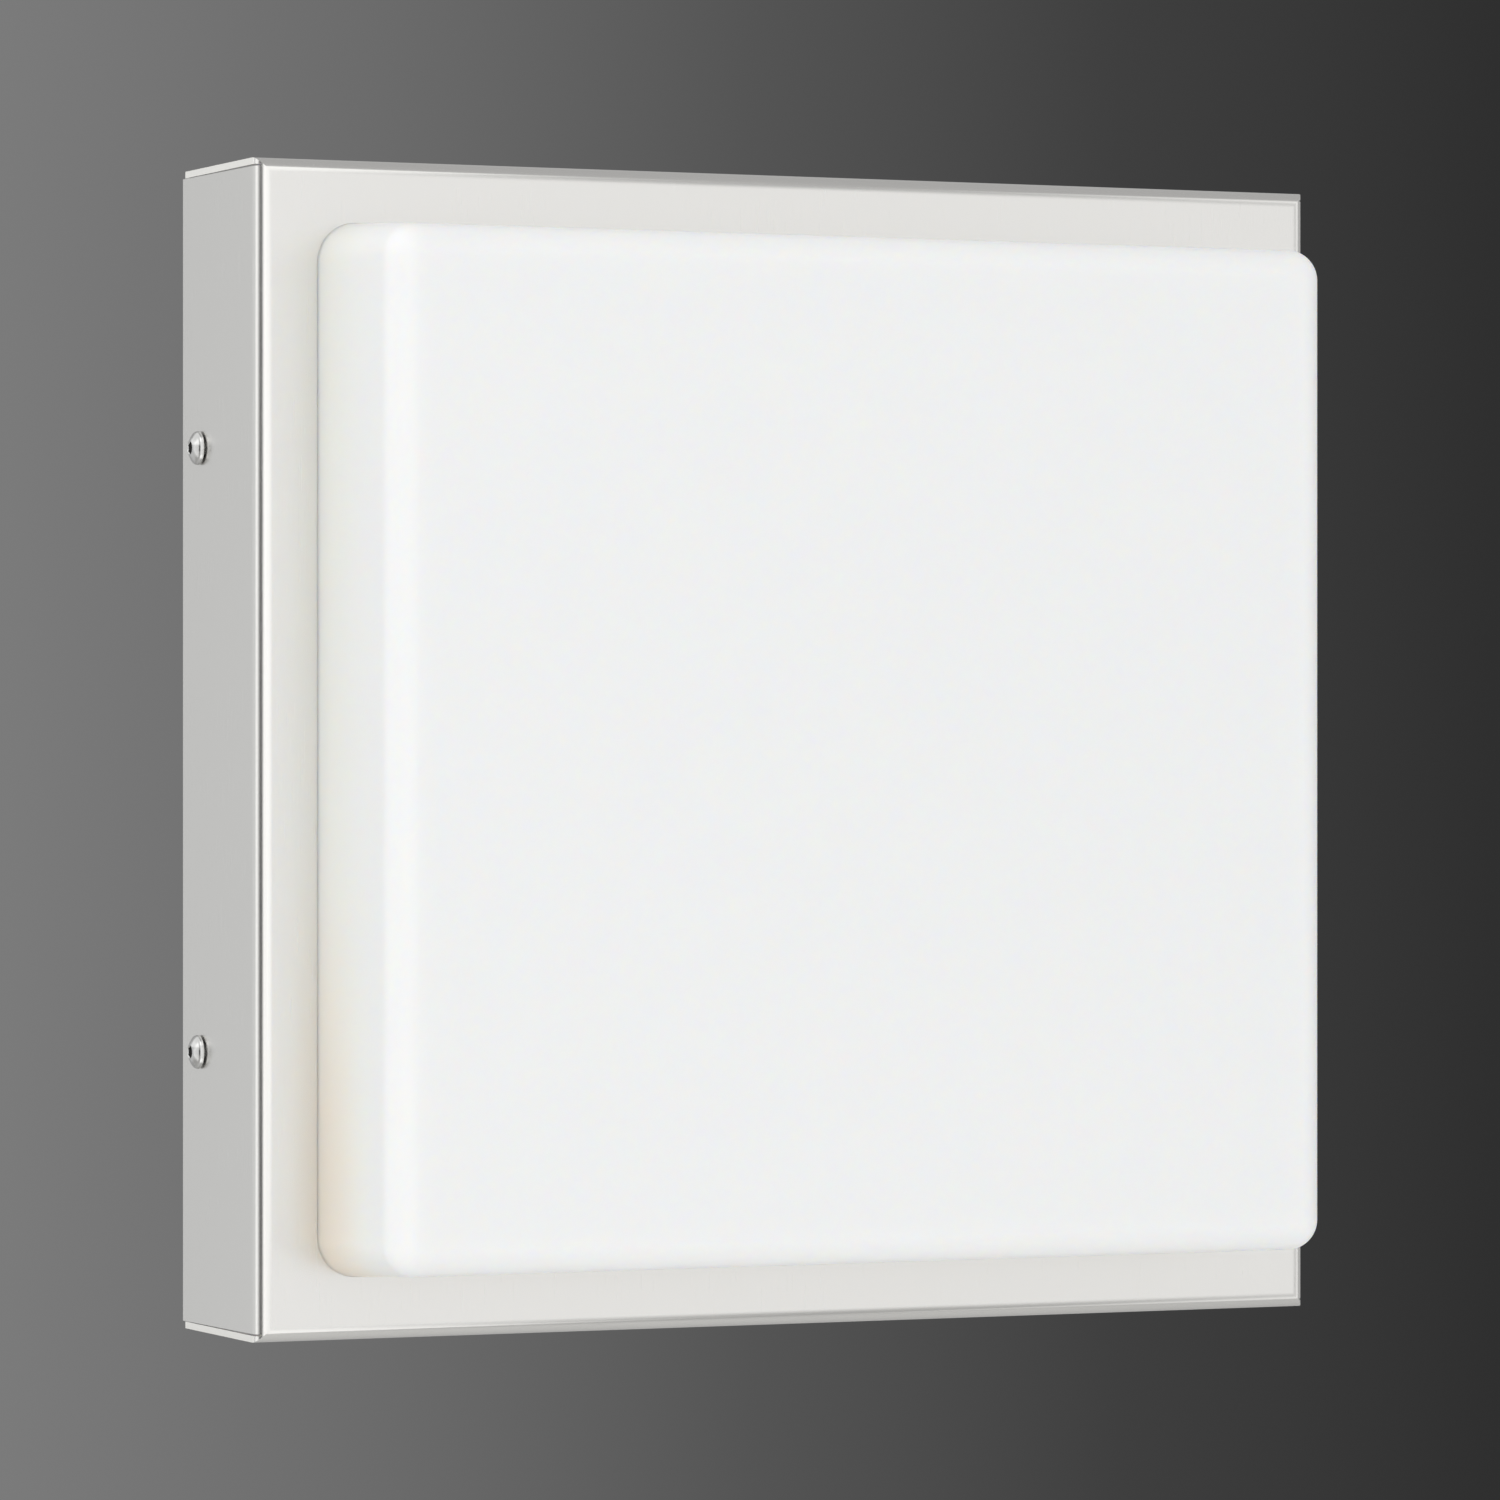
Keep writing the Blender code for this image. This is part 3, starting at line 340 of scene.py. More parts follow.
def world():
    """An even grey surround with one dark flag on the left; the camera sees a grey backdrop."""
    shade = bpy.data.worlds.new("studio")
    shade.use_nodes = True
    tree = shade.node_tree
    tree.nodes.clear()

    def add(kind, *inputs, **settings):
        node = tree.nodes.new(kind)
        for key, value in settings.items():
            setattr(node, key, value)
        for socket, value in inputs:
            if isinstance(value, bpy.types.NodeSocket):
                tree.links.new(value, node.inputs[socket])
            else:
                node.inputs[socket].default_value = value
        return node

    facing = add("ShaderNodeTexCoord").outputs["Generated"]
    across = add("ShaderNodeVectorMath", (0, facing), (1, RIGHT_OF_VIEW), operation="DOT_PRODUCT")
    place = add("ShaderNodeMath", (0, across.outputs["Value"]), (1, 0.5), operation="ADD")
    ramp = add("ShaderNodeValToRGB", ("Fac", place.outputs["Value"]))
    elements = ramp.color_ramp.elements
    while len(elements) < len(BACKDROP):
        elements.new(0.5)
    for element, (at, level) in zip(elements, BACKDROP):
        element.position = at
        element.color = (level, level, level, 1.0)

    flattened = add("ShaderNodeVectorMath", (0, facing), (1, (1.0, 1.0, 0.3)), operation="MULTIPLY")
    level = add("ShaderNodeVectorMath", (0, flattened.outputs["Vector"]), operation="NORMALIZE")
    left = add(
        "ShaderNodeVectorMath",
        (0, level.outputs["Vector"]),
        (1, (-math.cos(FLAG_AZIMUTH), -math.sin(FLAG_AZIMUTH), 0.0)),
        operation="DOT_PRODUCT",
    )
    flag = add(
        "ShaderNodeMapRange",
        ("Value", left.outputs["Value"]),
        ("From Min", math.cos(FLAG_OUTER)),
        ("From Max", math.cos(FLAG_INNER)),
        ("To Min", WORLD_LEVEL),
        ("To Max", FLAG_LEVEL),
        interpolation_type="SMOOTHSTEP",
    )
    around = add("ShaderNodeBackground", ("Color", flag.outputs["Result"]))
    seen = add("ShaderNodeBackground", ("Color", ramp.outputs["Color"]))
    path = add("ShaderNodeLightPath")
    mix = add(
        "ShaderNodeMixShader",
        ("Fac", path.outputs["Is Camera Ray"]),
        (1, around.outputs["Background"]),
        (2, seen.outputs["Background"]),
    )
    add("ShaderNodeOutputWorld", ("Surface", mix.outputs["Shader"]))
    bpy.context.scene.world = shade


def softbox(name, azimuth, height, distance, width, tall, radiance, tint):
    """A soft light aimed at the origin, at an azimuth in degrees from -X (0) through -Y (90)."""
    across = math.radians(azimuth)
    up = math.radians(height)
    place = distance * Vector(
        (-math.cos(across) * math.cos(up), -math.sin(across) * math.cos(up), math.sin(up))
    )
    data = bpy.data.lights.new(name, "AREA")
    data.shape = "RECTANGLE"
    data.size = width
    data.size_y = tall
    data.energy = radiance * math.pi * width * tall
    data.color = tint
    obj = bpy.data.objects.new(name, data)
    bpy.context.scene.collection.objects.link(obj)
    obj.location = place
    obj.rotation_euler = (-place).to_track_quat("-Z", "Y").to_euler()
    obj.visible_camera = False


def floor():
    n = Nodes("floor")
    cloud = n.noise(n.places(), 3.0, 2.0, 0.5)
    n.set(Base_Color=n.between(cloud, (0.78, 0.78, 0.77), (0.82, 0.82, 0.81)), Roughness=0.8)
    bm = bmesh.new()
    bmesh.ops.create_grid(bm, x_segments=1, y_segments=1, size=6.0)
    mesh = bpy.data.meshes.new("floor")
    bm.to_mesh(mesh)
    bm.free()
    mesh.materials.append(n.material)
    obj = bpy.data.objects.new("floor", mesh)
    bpy.context.scene.collection.objects.link(obj)
    obj.location = (0.0, -3.4, -2.0)


camera()
world()
floor()
softbox("key", 68, 0, 2.0, 2.5, 3.0, 0.80, NEUTRAL)
softbox("right_far", 152, 0, 2.0, 1.5, 2.4, 0.30, NEUTRAL)
softbox("fill_right", 115, 0, 2.2, 1.2, 1.3, 0.52, NEUTRAL)
softbox("left_back", -40, 0, 2.0, 2.2, 2.0, 0.24, COOL)
softbox("left_strip", -8, 0, 2.0, 0.75, 2.6, 0.62, NEUTRAL)
softbox("upper_left", -10, 45, 1.9, 3.4, 2.2, 0.62, NEUTRAL)
softbox("lower_left", -10, -45, 1.9, 3.4, 2.2, 0.09, WARM)
softbox("upper_front", 60, 54, 1.9, 1.3, 1.1, 1.0, NEUTRAL)
softbox("lower_front", 60, -54, 1.9, 1.3, 1.1, 1.0, NEUTRAL)
softbox("upper_right", 174, 32, 1.9, 2.2, 1.0, 0.34, NEUTRAL)
softbox("lower_right", 174, -32, 1.9, 2.2, 1.0, 0.38, NEUTRAL)
bpy.context.scene.view_settings.view_transform = "Standard"

# ---------------------------------------------------------------- shape helpers


def mesh_of(name, bm):
    mesh = bpy.data.meshes.new(name)
    bmesh.ops.remove_doubles(bm, verts=bm.verts, dist=MERGE)
    bmesh.ops.recalc_face_normals(bm, faces=bm.faces)
    bm.to_mesh(mesh)
    bm.free()
    return mesh


def linked(name, mesh):
    obj = bpy.data.objects.new(name, mesh)
    bpy.context.scene.collection.objects.link(obj)
    return obj


def weld(mesh):
    """Closes up slivers that a Boolean or a Bevel leaves."""
    bm = bmesh.new()
    bm.from_mesh(mesh)
    bmesh.ops.remove_doubles(bm, verts=bm.verts, dist=WELD_GAP)
    bmesh.ops.dissolve_degenerate(bm, edges=bm.edges, dist=WELD_GAP)
    bm.to_mesh(mesh)
    bm.free()


def bake(obj, degrees=32):
    """Applies the modifiers and shades smooth, with flats kept flat."""
    graph = bpy.context.evaluated_depsgraph_get()
    obj.data = bpy.data.meshes.new_from_object(obj.evaluated_get(graph))
    obj.modifiers.clear()
    weld(obj.data)
    obj.data.shade_smooth()
    obj.data.set_sharp_from_angle(angle=math.radians(degrees))
    weighted = obj.modifiers.new("weighted", "WEIGHTED_NORMAL")
    weighted.keep_sharp = True
    graph = bpy.context.evaluated_depsgraph_get()
    obj.data = bpy.data.meshes.new_from_object(obj.evaluated_get(graph))
    obj.modifiers.clear()
    return obj


def boolean(obj, operation, bm):
    tool = linked(obj.name + "_tool", mesh_of("tool", bm))
    modifier = obj.modifiers.new("boolean", "BOOLEAN")
    modifier.operation = operation
    modifier.solver = "EXACT"
    modifier.object = tool
    graph = bpy.context.evaluated_depsgraph_get()
    obj.data = bpy.data.meshes.new_from_object(obj.evaluated_get(graph))
    obj.modifiers.clear()
    bpy.data.objects.remove(tool, do_unlink=True)


def piece(obj, node, look=None):
    """obj stands for a CAD node, on its body and in its finish."""
    slot = SLOT_OF[node]
    obj.data.materials.clear()
    obj.data.materials.append(look or LOOKS[slot])
    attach(obj, BODY_OF[node])
    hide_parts(node)


def add_box(bm, low, high):
    low = Vector(low)
    high = Vector(high)
    size = Matrix.Diagonal((*(high - low), 1.0))
    bmesh.ops.create_cube(bm, size=1.0, matrix=Matrix.Translation((low + high) / 2) @ size)


def add_rod(bm, start, end, radius, sides=48):
    start = Vector(start)
    end = Vector(end)
    turn = (end - start).to_track_quat("Z", "Y").to_matrix().to_4x4()
    bmesh.ops.create_cone(
        bm,
        cap_ends=True,
        segments=sides,
        radius1=radius,
        radius2=radius,
        depth=(end - start).length,
        matrix=Matrix.Translation((start + end) / 2) @ turn,
    )


def rounded_square(half, corner, y, steps=CORNER_STEPS):
    """Outline of a square with rounded corners in the plane at y."""
    points = []
    for quarter, (sx, sz) in enumerate(((1, 1), (-1, 1), (-1, -1), (1, -1))):
        for i in range(steps + 1):
            angle = math.radians(90 * quarter + 90 * i / steps)
            across = sx * (half - corner) + corner * math.cos(angle)
            up = sz * (half - corner) + corner * math.sin(angle)
            points.append((across, y, up))
    return points


def loft(bm, outlines, closed=False):
    """Walls through a row of outlines, with both ends capped or joined to each other."""
    rings = [[bm.verts.new(point) for point in outline] for outline in outlines]
    count = len(rings[0])
    pairs = list(zip(rings, rings[1:]))
    if closed:
        pairs.append((rings[-1], rings[0]))
    else:
        bm.faces.new(rings[0])
        bm.faces.new(rings[-1])
    for low, high in pairs:
        for i in range(count):
            j = (i + 1) % count
            bm.faces.new((low[i], low[j], high[j], high[i]))


def turned(name, profile, sides=64):
    """A solid turned about Z from its (radius, height) points."""
    bm = bmesh.new()
    verts = [bm.verts.new((radius, 0.0, height)) for radius, height in profile]
    edges = [bm.edges.new(pair) for pair in zip(verts, verts[1:])]
    if profile[0][0] > 0:
        edges.append(bm.edges.new((verts[-1], verts[0])))
    bmesh.ops.spin(
        bm,
        geom=verts + edges,
        axis=(0, 0, 1),
        cent=(0, 0, 0),
        angle=2 * math.pi,
        steps=sides,
        use_merge=True,
    )
    bmesh.ops.remove_doubles(bm, verts=bm.verts, dist=MERGE)
    return linked(name, mesh_of(name, bm))


def stood(obj, place, axis):
    """Moves a turned piece's own Z onto an axis through place, in its mesh."""
    turn = Vector(axis).to_track_quat("Z", "Y").to_matrix().to_4x4()
    obj.data.transform(Matrix.Translation(place) @ turn)
    return obj


def arc(centre, radius, start, end, steps):
    points = []
    for i in range(steps + 1):
        angle = math.radians(start + (end - start) * i / steps)
        points.append(
            (centre[0] + radius * math.cos(angle), centre[1] + radius * math.sin(angle))
        )
    return points


# ---------------------------------------------------------------- cover


def beyond(side, inner):
    """From a depth inside one side of the housing to just outside it, in rising order."""
    return sorted((side * (HALF + SHEET), side * inner))


def folded_box():
    """The outer skin of the cover: a box without its back, with its front edges bent."""
    bm = bmesh.new()
    add_box(bm, (-HALF, FRONT, -HALF), (HALF, BACK, HALF))
    bm.normal_update()
    back = [face for face in bm.faces if face.normal.y > 0.9]
    bmesh.ops.delete(bm, geom=back, context="FACES_ONLY")
    front = [e for e in bm.edges if all(abs(v.co.y - FRONT) < COPY_MERGE for v in e.verts)]
    bmesh.ops.bevel(
        bm, geom=front, offset=BEND, segments=BEND_STEPS, profile=0.5, affect="EDGES"
    )
    return mesh_of("cover_frame_shell", bm)


def welded_studs():
    nut_low, nut_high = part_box("clip_nut_2")
    stud_x = -(nut_low.x + nut_high.x) / 2
    stud_z = abs(nut_low.z + nut_high.z) / 2
    stud_end = FRONT_INSIDE + STUD_LENGTH
    studs = bmesh.new()
    for sx, sz in CORNERS:
        x = sx * stud_x
        z = sz * stud_z
        add_rod(studs, (x, FRONT + SHEET / 2, z), (x, stud_end, z), STUD_RADIUS, 24)
    return studs


def opening_and_seams():
    """The glass opening, the wedge-shaped seams of the corners and the screw holes."""
    opening = GLASS_HALF + OPENING_GAP
    corner = GLASS_CORNER + OPENING_GAP
    wider = 4 * OPENING_CHAMFER
    cuts = bmesh.new()
    loft(
        cuts,
        [
            rounded_square(opening + wider, corner + wider, FRONT - 3 * OPENING_CHAMFER),
            rounded_square(opening, corner, FRONT + OPENING_CHAMFER),
            rounded_square(opening, corner, FRONT_INSIDE + SHEET),
        ],
    )
    for sx, sz in CORNERS:
        low, high = beyond(sx, INSIDE - SHEET / 2)
        near = sz * INSIDE
        outlines = []
        for y, gap in ((FRONT + BEND / 4, SEAM_FRONT), (SHEET, SEAM_BACK)):
            far = sz * (INSIDE - gap)
            outlines.append([(low, y, near), (high, y, near), (high, y, far), (low, y, far)])
        loft(cuts, outlines)
        centre = (SCREW_Y, sz * SCREW_Z)
        add_rod(cuts, (low, *centre), (high, *centre), SCREW_HOLE)
    return cuts


def notches_and_hairlines():
    """The notch at the back of each corner seam and the fine line across its front."""
    line, width, depth = HAIRLINE
    cuts = bmesh.new()
    for sx, sz in CORNERS:
        across = beyond(sx, HALF - NOTCH[0])
        up = beyond(sz, INSIDE - SEAM_BACK / 2)
        add_box(cuts, (across[0], BACK - NOTCH[1], up[0]), (across[1], SHEET, up[1]))
        across = beyond(sx, HALF - depth)
        up = beyond(sz, INSIDE - SEAM_FRONT / 2)
        low_corner = (across[0], -line - width / 2, up[0])
        add_box(cuts, low_corner, (across[1], width / 2 - line, up[1]))
    return cuts


def cover_frame():
    shell = linked("cover_frame_shell", folded_box())
    thickness = shell.modifiers.new("thickness", "SOLIDIFY")
    thickness.thickness = SHEET
    thickness.offset = -1
    thickness.use_even_offset = True
    boolean(shell, "UNION", welded_studs())
    boolean(shell, "DIFFERENCE", opening_and_seams())
    boolean(shell, "DIFFERENCE", notches_and_hairlines())
    piece(bake(shell), "cover_frame")

    shell.data.materials.append(sheared_edge())
    tolerance = 1e-5
    edge_front = FRONT + 0.0005
    for face in shell.data.polygons:
        at_corner = abs(face.center.z) > INSIDE - tolerance and face.center.y > edge_front
        if at_corner and abs(face.normal.x) > 0.95:
            face.material_index = 1


def dish(half, corner, back, front, edge):
    """Outlines of a drafted dish from y = back to its rounded front edge."""
    rounded = arc((edge, front + edge), edge, 180, 270, CORNER_STEPS)
    outlines = []
    for rounding, y in [(0.0, back), *rounded]:
        inset = GLASS_DRAFT * (FRONT - y) + rounding
        outlines.append(rounded_square(half - inset, max(corner - inset, 0.0002), y))
    return outlines


def opal_glass():
    back = GLASS_HIGH.y
    flange_front = back - GLASS_WALL
    front = GLASS_LOW.y
    rim = GLASS_RIM
    rim_corner = GLASS_CORNER + GLASS_FLANGE
    soft = 0.0006
    outside = dish(GLASS_HALF, GLASS_CORNER, flange_front, front, GLASS_EDGE)
    inside = dish(
        GLASS_HALF - GLASS_WALL,
        GLASS_CORNER - GLASS_WALL,
        back,
        front + GLASS_WALL,
        GLASS_EDGE - GLASS_WALL,
    )
    bm = bmesh.new()
    loft(
        bm,
        [
            *reversed(inside),
            rounded_square(rim - soft, rim_corner - soft, back),
            rounded_square(rim, rim_corner, back - soft),
            rounded_square(rim, rim_corner, flange_front + soft),
            rounded_square(rim - soft, rim_corner - soft, flange_front),
            *outside,
        ],
    )
    glass = linked("opal_glass_dish", mesh_of("opal_glass_dish", bm))
    piece(bake(glass), "opal_glass")


def eased(start, end, slope, steps):
    """Points from start, which leaves at a slope in degrees, to end on one smooth curve."""
    run = start[0] - end[0]
    rise = end[1] - start[1]
    steep = math.tan(math.radians(slope)) * run
    points = []
    for i in range(1, steps + 1):
        t = i / steps
        points.append((start[0] - run * t, start[1] + steep * t + (rise - steep) * t * t))
    return points


def cone_cut(height, top, bottom, depth, sides):
    """A cutter about Z, top wide at a height and bottom wide a depth below it."""
    bm = bmesh.new()
    bmesh.ops.create_cone(
        bm,
        cap_ends=True,
        segments=sides,
        radius1=bottom,
        radius2=top + (top - bottom),
        depth=2 * depth,
        matrix=Matrix.Translation((0, 0, height)),
    )
    return bm


def button_profile(radius, height, length):
    """A shallow dome round a flat land, with its underside at height 0."""
    land = 0.00155
    rim = 0.00025
    tip = 0.0006
    shoulder = 0.0012
    shoulder_slope = 36
    rounding = arc((radius - shoulder, rim), shoulder, 0, 90 - shoulder_slope, 14)
    return [
        (0.0, -length),
        (SCREW_RADIUS - tip, -length),
        (SCREW_RADIUS, tip - length),
        (SCREW_RADIUS, 0.0),
        (radius - rim / 2, 0.0),
        (radius, rim / 2),
        *rounding,
        *eased(rounding[-1], (land, height), shoulder_slope, 8),
        (0.0, height),
    ]


def shade_socket(screw, level, hexagon):
    """Paints shade into the socket: the faces inside it get a dark material that stands for the
    shadow in its depth.
    """
    screw.data.materials.append(SOCKET_SHADE)
    axis = Vector((0.0, SCREW_Y, level * SCREW_Z))
    inset = 0.00002
    below_land = 0.00005
    for face in screw.data.polygons:
        centre = face.center - axis
        reach = abs(centre.x)
        inward = centre.yz.length < hexagon - inset
        if inward and HALF < reach < abs(SCREW_LOW.x) - below_land:
            face.material_index = 1


def side_screws():
    """Button heads with a hexagon socket in a slight countersink."""
    under = -HALF - 0.0003
    height = under - SCREW_LOW.x
    radius = (SCREW_HIGH.z - SCREW_LOW.z) / 2
    profile = button_profile(radius, height, SCREW_HIGH.x - under)
    hexagon = 0.0025 / math.sqrt(3)
    socket_depth = 0.0013
    sink_depth = 0.0003
    sink_bottom = 0.0011
    for side_name, side in (("left", -1), ("right", 1)):
        for level_name, level in (("upper", 1), ("lower", -1)):
            node = f"side_screw_{side_name}_{level_name}"
            screw = turned(node + "_head", profile)
            socket = cone_cut(height, hexagon, hexagon, socket_depth, 6)
            boolean(screw, "DIFFERENCE", socket)
            sink = cone_cut(height, hexagon + 0.0001, sink_bottom, sink_depth, 48)
            boolean(screw, "DIFFERENCE", sink)
            place = (-side * under, SCREW_Y, level * SCREW_Z)
            bake(stood(screw, place, (side, 0, 0)))
            piece(screw, node, SCREW_STEEL)
            shade_socket(screw, level, hexagon)


# ---------------------------------------------------------------- lamps and lampholders


ALONG_X = Matrix.Rotation(math.pi / 2, 4, "Y")


def stations():
    """The upper station stands as modelled, the lower one is turned half round about Y."""
    for number, angle in ((1, 0.0), (2, math.pi)):
        place = Matrix.Translation((0, LAMP_Y, LAMP_Z))
        yield number, Matrix.Rotation(angle, 4, "Y") @ place


def stationed(obj, station, start, node):
    """Puts a piece turned about Z on a lamp's axis, its height 0 at x = start."""
    obj.data.transform(station @ Matrix.Translation((start, 0, 0)) @ ALONG_X)
    piece(bake(obj), node)


def along_axis(node, start):
    """An upper node's ends along the lamp's axis, measured from start, and its radius."""
    low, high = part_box(node)
    return low.x - start, high.x - start, (high.z - low.z) / 2


def thread_rings(low, high, crest, depth, turns_per_ring=8):
    """Rings of a rounded Edison thread, run out at both ends."""
    rings = []
    count = round((high - low) / THREAD_PITCH * turns_per_ring)
    for i in range(count + 1):
        height = low + (high - low) * i / count
        fade = min(1.0, i / turns_per_ring, (count - i) / turns_per_ring)
        points = []
        for k in range(ROUND_STEPS):
            turn = k / ROUND_STEPS
            wave = 0.5 - 0.5 * math.cos(2 * math.pi * (height / THREAD_PITCH - turn))
            radius = crest - depth * (fade * wave + (1 - fade) * 0.5)
            angle = 2 * math.pi * turn
            points.append((radius * math.cos(angle), radius * math.sin(angle), height))
        rings.append(points)
    return rings


def ring(radius, height):
    angles = [2 * math.pi * k / ROUND_STEPS for k in range(ROUND_STEPS)]
    return [(radius * math.cos(a), radius * math.sin(a), height) for a in angles]


def lofted(name, outlines, closed=False):
    bm = bmesh.new()
    loft(bm, outlines, closed)
    return linked(name, mesh_of(name, bm))


def lamp_contact(number, station, start):
    _, top, radius = along_axis("lamp_contact_1", start)
    dome = [(0.0, 0.0), (0.0016, 0.00015), (0.0030, 0.0006), (0.0040, 0.0013), (radius, 0.0017)]
    profile = [*dome, (radius, top), (0.0, top)]
    contact = turned(f"lamp_contact_{number}_tip", profile)
    stationed(contact, station, start, f"lamp_contact_{number}")


def lamp_cap(number, station, start):
    """The cap's crimped base, its thread and its plain collar."""
    base, end, radius = along_axis("lamp_cap_1", start)
    crimp = ((0.0058, 0.0), (0.0062, 0.0004), (0.0098, 0.0010), (0.0108, 0.0016), (0.0118, 0.0028))
    thread_depth = 0.0011
    collar = 0.0020
    cap = lofted(
        f"lamp_cap_{number}_threaded",
        [
            *(ring(wide, base + up) for wide, up in crimp),
            *thread_rings(base + 0.0033, end - 0.0030, radius, thread_depth),
            ring(radius - 0.0004, end - 0.0024),
            ring(radius, end - collar),
            ring(radius, end - 0.0003),
            ring(radius - 0.0003, end),
        ],
    )
    stationed(cap, station, start, f"lamp_cap_{number}")


def lamp_housing(number, station, start, cap_radius):
    """A cone that flares from the cap to a grooved rim under the globe."""
    low, high, wide = along_axis("lamp_housing_1", start)
    neck = cap_radius + 0.0012
    edge = 0.0004
    shy = 0.0002
    flared = (high - low) - 0.0024
    steps = 24
    profile = [(0.0, low), (neck - edge, low), (neck, low + edge)]
    for i in range(1, steps + 1):
        t = i / steps
        flare = t * t * (3 - 2 * t) * 0.55 + t * 0.45
        profile.append((neck + (wide - shy - neck) * flare, low + edge + flared * t))
    profile += [
        (wide - shy, high - 0.0014),
        (wide - 4 * shy, high - 0.0012),
        (wide - 4 * shy, high - 0.0008),
        (wide, high - 0.0006),
        (wide, high),
        (0.0, high),
    ]
    housing = turned(f"lamp_housing_{number}_cone", profile, 96)
    stationed(housing, station, start, f"lamp_housing_{number}")


def lamp_globe(number, station, start):
    low, high, box_radius = along_axis("lamp_globe_1", start)
    facet_loss = 0.00003
    radius = box_radius + facet_loss
    inside = radius - 0.0014
    centre = high - radius
    foot = low - centre
    outer = arc((0.0, centre), radius, 90, math.degrees(math.asin(foot / radius)), 36)
    inner = arc((0.0, centre), inside, math.degrees(math.asin(foot / inside)), 90, 32)
    outer[0] = (0.0, outer[0][1])
    inner[-1] = (0.0, inner[-1][1])
    globe = turned(f"lamp_globe_{number}_dome", [*outer, *inner], 96)
    stationed(globe, station, start, f"lamp_globe_{number}")


def lamp(number, station):
    lamp_contact(number, station, LAMP_TIP)
    lamp_cap(number, station, LAMP_TIP)
    lamp_housing(number, station, LAMP_TIP, along_axis("lamp_cap_1", LAMP_TIP)[2])
    lamp_globe(number, station, LAMP_TIP)


def holder_body(number, station, start):
    """Porcelain body with a groove round it, two screw holes and two wire holes."""
    radius = HOLDER_RADIUS
    length = HOLDER_LENGTH
    floor_height = 0.014
    bore = 0.0149
    edge = 0.0015
    lip = 0.001
    groove = 0.0004
    body = turned(
        f"lamp_holder_{number}_body",
        [
            (0.0, 0.0),
            *arc((radius - edge, edge), edge, 270, 360, 8),
            (radius, 0.0118),
            (radius - groove, 0.0122),
            (radius - groove, 0.0128),
            (radius, 0.0132),
            *arc((radius - edge, length - edge), edge, 0, 90, 8),
            *arc((bore + lip, length - lip), lip, 90, 180, 6),
            (bore, floor_height),
            (0.0, floor_height),
        ],
        72,
    )
    wire_y = 0.006
    wire_z = 0.007
    screw_x = 0.012
    screw_depth = 0.0080
    chord = math.sqrt(radius**2 - wire_y**2)
    for sign in (1, -1):
        holes = bmesh.new()
        x = sign * screw_x
        add_rod(holes, (x, 0, -SHEET), (x, 0, screw_depth), 0.0018, 32)
        y = sign * wire_y
        add_rod(holes, (chord - 0.0055, y, wire_z), (radius + SHEET, y, wire_z), 0.00135, 32)
        boolean(body, "DIFFERENCE", holes)
    stationed(body, station, start, f"lamp_holder_{number}")


def holder_shell(number, station, start):
    """A threaded cup of thin sheet, open in the middle of its floor."""
    low, high, outer = along_axis("holder_shell_1", start)
    gauge = 0.0008
    hole = 0.0080
    thread_depth = 0.0006
    inner_floor = low + gauge
    shell = lofted(
        f"holder_shell_{number}_threaded",
        [
            ring(hole, inner_floor),
            ring(outer - gauge - 0.0010, inner_floor),
            *thread_rings(inner_floor + 0.0010, high - 0.0004, outer - 0.0002, thread_depth),
            ring(outer - 0.0003, high),
            ring(outer, high - 0.0002),
            ring(outer, low + 0.0006),
            ring(outer - 0.0006, low),
            ring(hole, low),
        ],
        closed=True,
    )
    stationed(shell, station, start, f"holder_shell_{number}")


def holder_contact(number, station, start):
    low, high, wide = along_axis("holder_contact_1", start)
    contact = turned(
        f"holder_contact_{number}_disc",
        [
            (0.0, low),
            (wide, low),
            (wide, low + 0.0006),
            (wide - 0.0003, low + 0.0008),
            (0.0040, low + 0.0011),
            (0.0034, high - 0.0003),
            (0.0028, high),
            (0.0, high),
        ],
    )
    stationed(contact, station, start, f"holder_contact_{number}")


def lampholder(number, station):
    holder_body(number, station, HOLDER_LOW.x)
    holder_shell(number, station, HOLDER_LOW.x)
    holder_contact(number, station, HOLDER_LOW.x)


# ---------------------------------------------------------------- screws, nuts and rivets


def pan_profile(radius, height, shank, length):
    """A pan head on a plain shank, its underside at height 0."""
    drop = height * 0.65
    tip = 0.0003
    crown = []
    for degrees in range(90, -1, -9):
        angle = math.radians(degrees)
        out = radius * (0.55 + 0.45 * math.sin(angle))
        crown.append((out, height - drop * (1 - math.cos(angle))))
    return [
        (0.0, -length),
        (shank - tip, -length),
        (shank, tip - length),
        (shank, 0.0),
        (radius - 0.0001, 0.0),
        (radius, 0.0001),
        *crown,
        (0.0, height),
    ]


def pan_head(node, axis, height, shank, slot_turn=None):
    """A screw or rivet about the axis its head points along, in its CAD node's box."""
    low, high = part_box(node)
    axis = Vector(axis)
    along = max(range(3), key=lambda i: abs(axis[i]))
    across = (along + 1) % 3
    size = high - low
    under = (low + high) / 2 + axis * (size[along] / 2 - height)
    profile = pan_profile(size[across] / 2, height, shank, size[along] - height)
    head = turned(node + "_pan", profile, 48)
    if slot_turn is not None:
        slot = bmesh.new()
        reach = size[across]
        half_slot = 0.0004
        add_box(slot, (-reach, -half_slot, height * 0.55), (reach, half_slot, 2 * height))
        bmesh.ops.rotate(slot, verts=slot.verts, matrix=Matrix.Rotation(slot_turn, 3, "Z"))
        boolean(head, "DIFFERENCE", slot)
    piece(bake(stood(head, under, axis)), node)


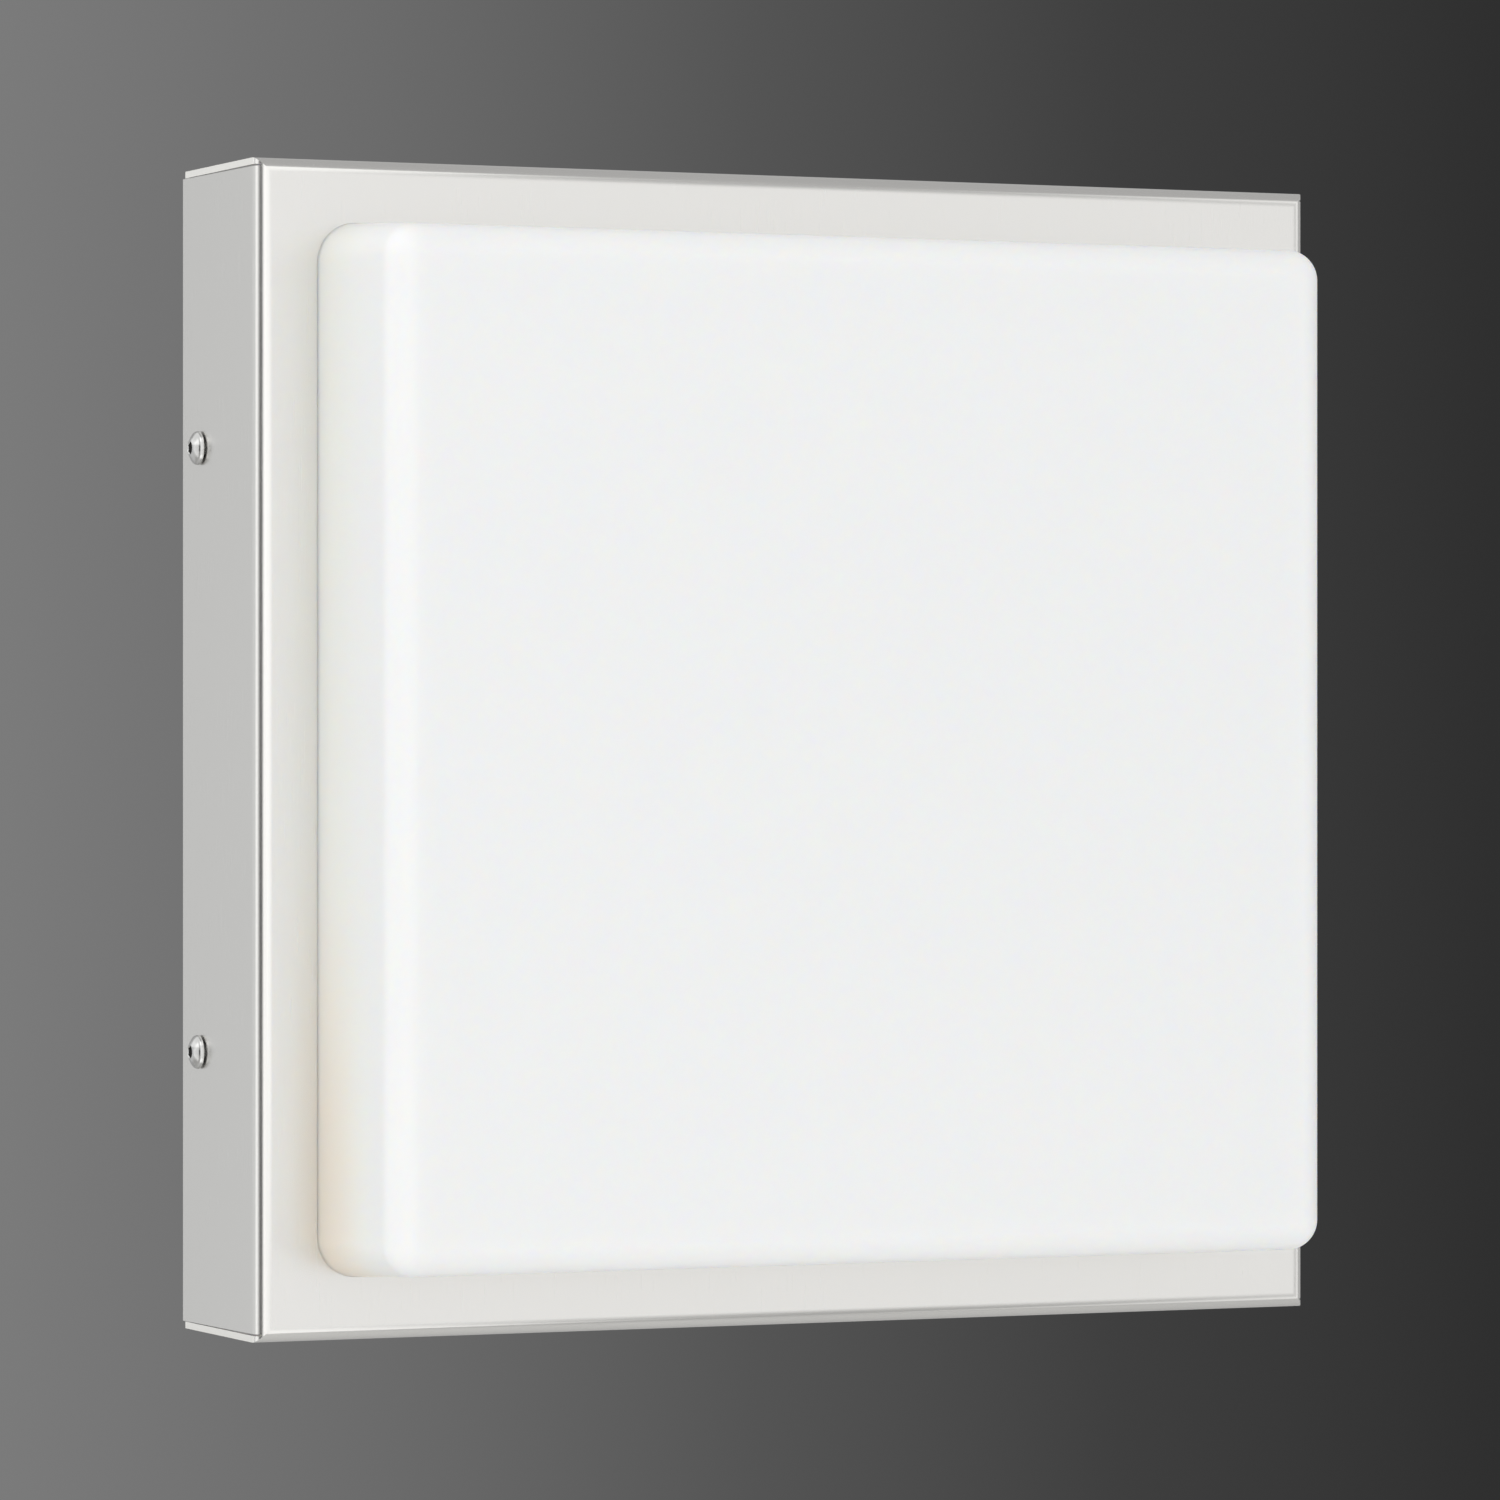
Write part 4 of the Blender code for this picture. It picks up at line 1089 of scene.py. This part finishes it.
def fixings():
    """Heads of the lampholder, terminal and earth screws and of the bracket rivets."""
    outward = (0, -1, 0)
    m3_head = (0.0019, 0.0015)
    m4_head = (0.0026, 0.0020)
    rivet_head = (0.0012, 0.0016)
    for number, side in ((1, -1), (2, 1)):
        for letter, turn in (("a", 0.5), ("b", 1.9)):
            screw = f"holder_screw_{number}{letter}"
            pan_head(screw, (side, 0, 0), *m3_head, turn * number)
            pan_head(f"holder_rivet_{number}{letter}", outward, *rivet_head)
    pan_head("terminal_screw", outward, *m3_head, 0.9)
    pan_head("earth_screw", outward, *m4_head, 2.2)


def cable_grommet():
    """A rubber bush: its groove takes the plate and its lip closes on the cable."""
    low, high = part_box("cable_grommet")
    flange = (high.x - low.x) / 2
    height = high.y - low.y - SHEET
    neck = flange - 0.0029
    bore = 0.0045
    lip = bore + 0.0010
    grommet = turned(
        "cable_grommet_bush",
        [
            (lip, -SHEET),
            (neck - 0.0002, -SHEET),
            (neck, 0.0002 - SHEET),
            (neck, 0.0),
            (flange - 0.0003, 0.0),
            *arc((flange - 0.0010, 0.0011), 0.0010, 0, 70, 6),
            (bore + 0.0034, height - 0.0003),
            *arc((bore + 0.0022, height - 0.0008), 0.0008, 60, 120, 6),
            *arc((lip, 0.0030), 0.0010, 120, 180, 6),
            (bore, 0.0005),
        ],
        72,
    )
    place = ((low.x + high.x) / 2, high.y - SHEET, (low.z + high.z) / 2)
    piece(bake(stood(grommet, place, (0, -1, 0))), "cable_grommet")


# ---------------------------------------------------------------- the rest of the CAD nodes


def copied(node):
    """A CAD node's mesh with its double points merged."""
    bm = bmesh.new()
    bm.from_mesh(NODES[node].data)
    bmesh.ops.remove_doubles(bm, verts=bm.verts, dist=COPY_MERGE)
    return bm


def soften(node, width):
    """A copy of a CAD node with its sharp edges broken."""
    bm = copied(node)
    bmesh.ops.dissolve_limit(bm, angle_limit=math.radians(0.5), verts=bm.verts, edges=bm.edges)
    copy = linked(node + "_soft", mesh_of(node + "_soft", bm))
    bevel = copy.modifiers.new("bevel", "BEVEL")
    bevel.width = width
    bevel.segments = 2
    bevel.limit_method = "ANGLE"
    bevel.angle_limit = math.radians(50)
    piece(bake(copy, 38), node)


def smooth_wire(node):
    """The CAD's wire, rounded. Subdivision thins it, so it is widened by as much first."""
    bm = copied(node)
    bm.normal_update()
    for vert in bm.verts:
        vert.co += vert.normal * WIRE_THINNING
    wire = linked(node + "_round", mesh_of(node + "_round", bm))
    rounding = wire.modifiers.new("rounding", "SUBSURF")
    rounding.levels = 2
    rounding.render_levels = 2
    piece(bake(wire, 60), node)


def soft_nodes():
    """Every node that keeps its CAD shape: sheet parts, nuts, the block, the gasket and wires."""
    widths = {
        "wall_bracket": 0.00012,
        "holder_bracket_": 0.00012,
        "glass_clip_": 0.00010,
        "clip_nut_": 0.00015,
        "nut_bar_": 0.00015,
        "terminal_block": 0.0003,
        "terminal_clamp_": 0.00008,
        "earth_lug": 0.00008,
        "earth_washer": 0.00010,
        "glass_gasket": 0.0003,
    }
    for node in sorted(NODES):
        for start, width in widths.items():
            if node.startswith(start):
                soften(node, width)
        if node.startswith("wire_"):
            smooth_wire(node)


cover_frame()
opal_glass()
side_screws()
for number, station in stations():
    lamp(number, station)
    lampholder(number, station)
fixings()
cable_grommet()
soft_nodes()
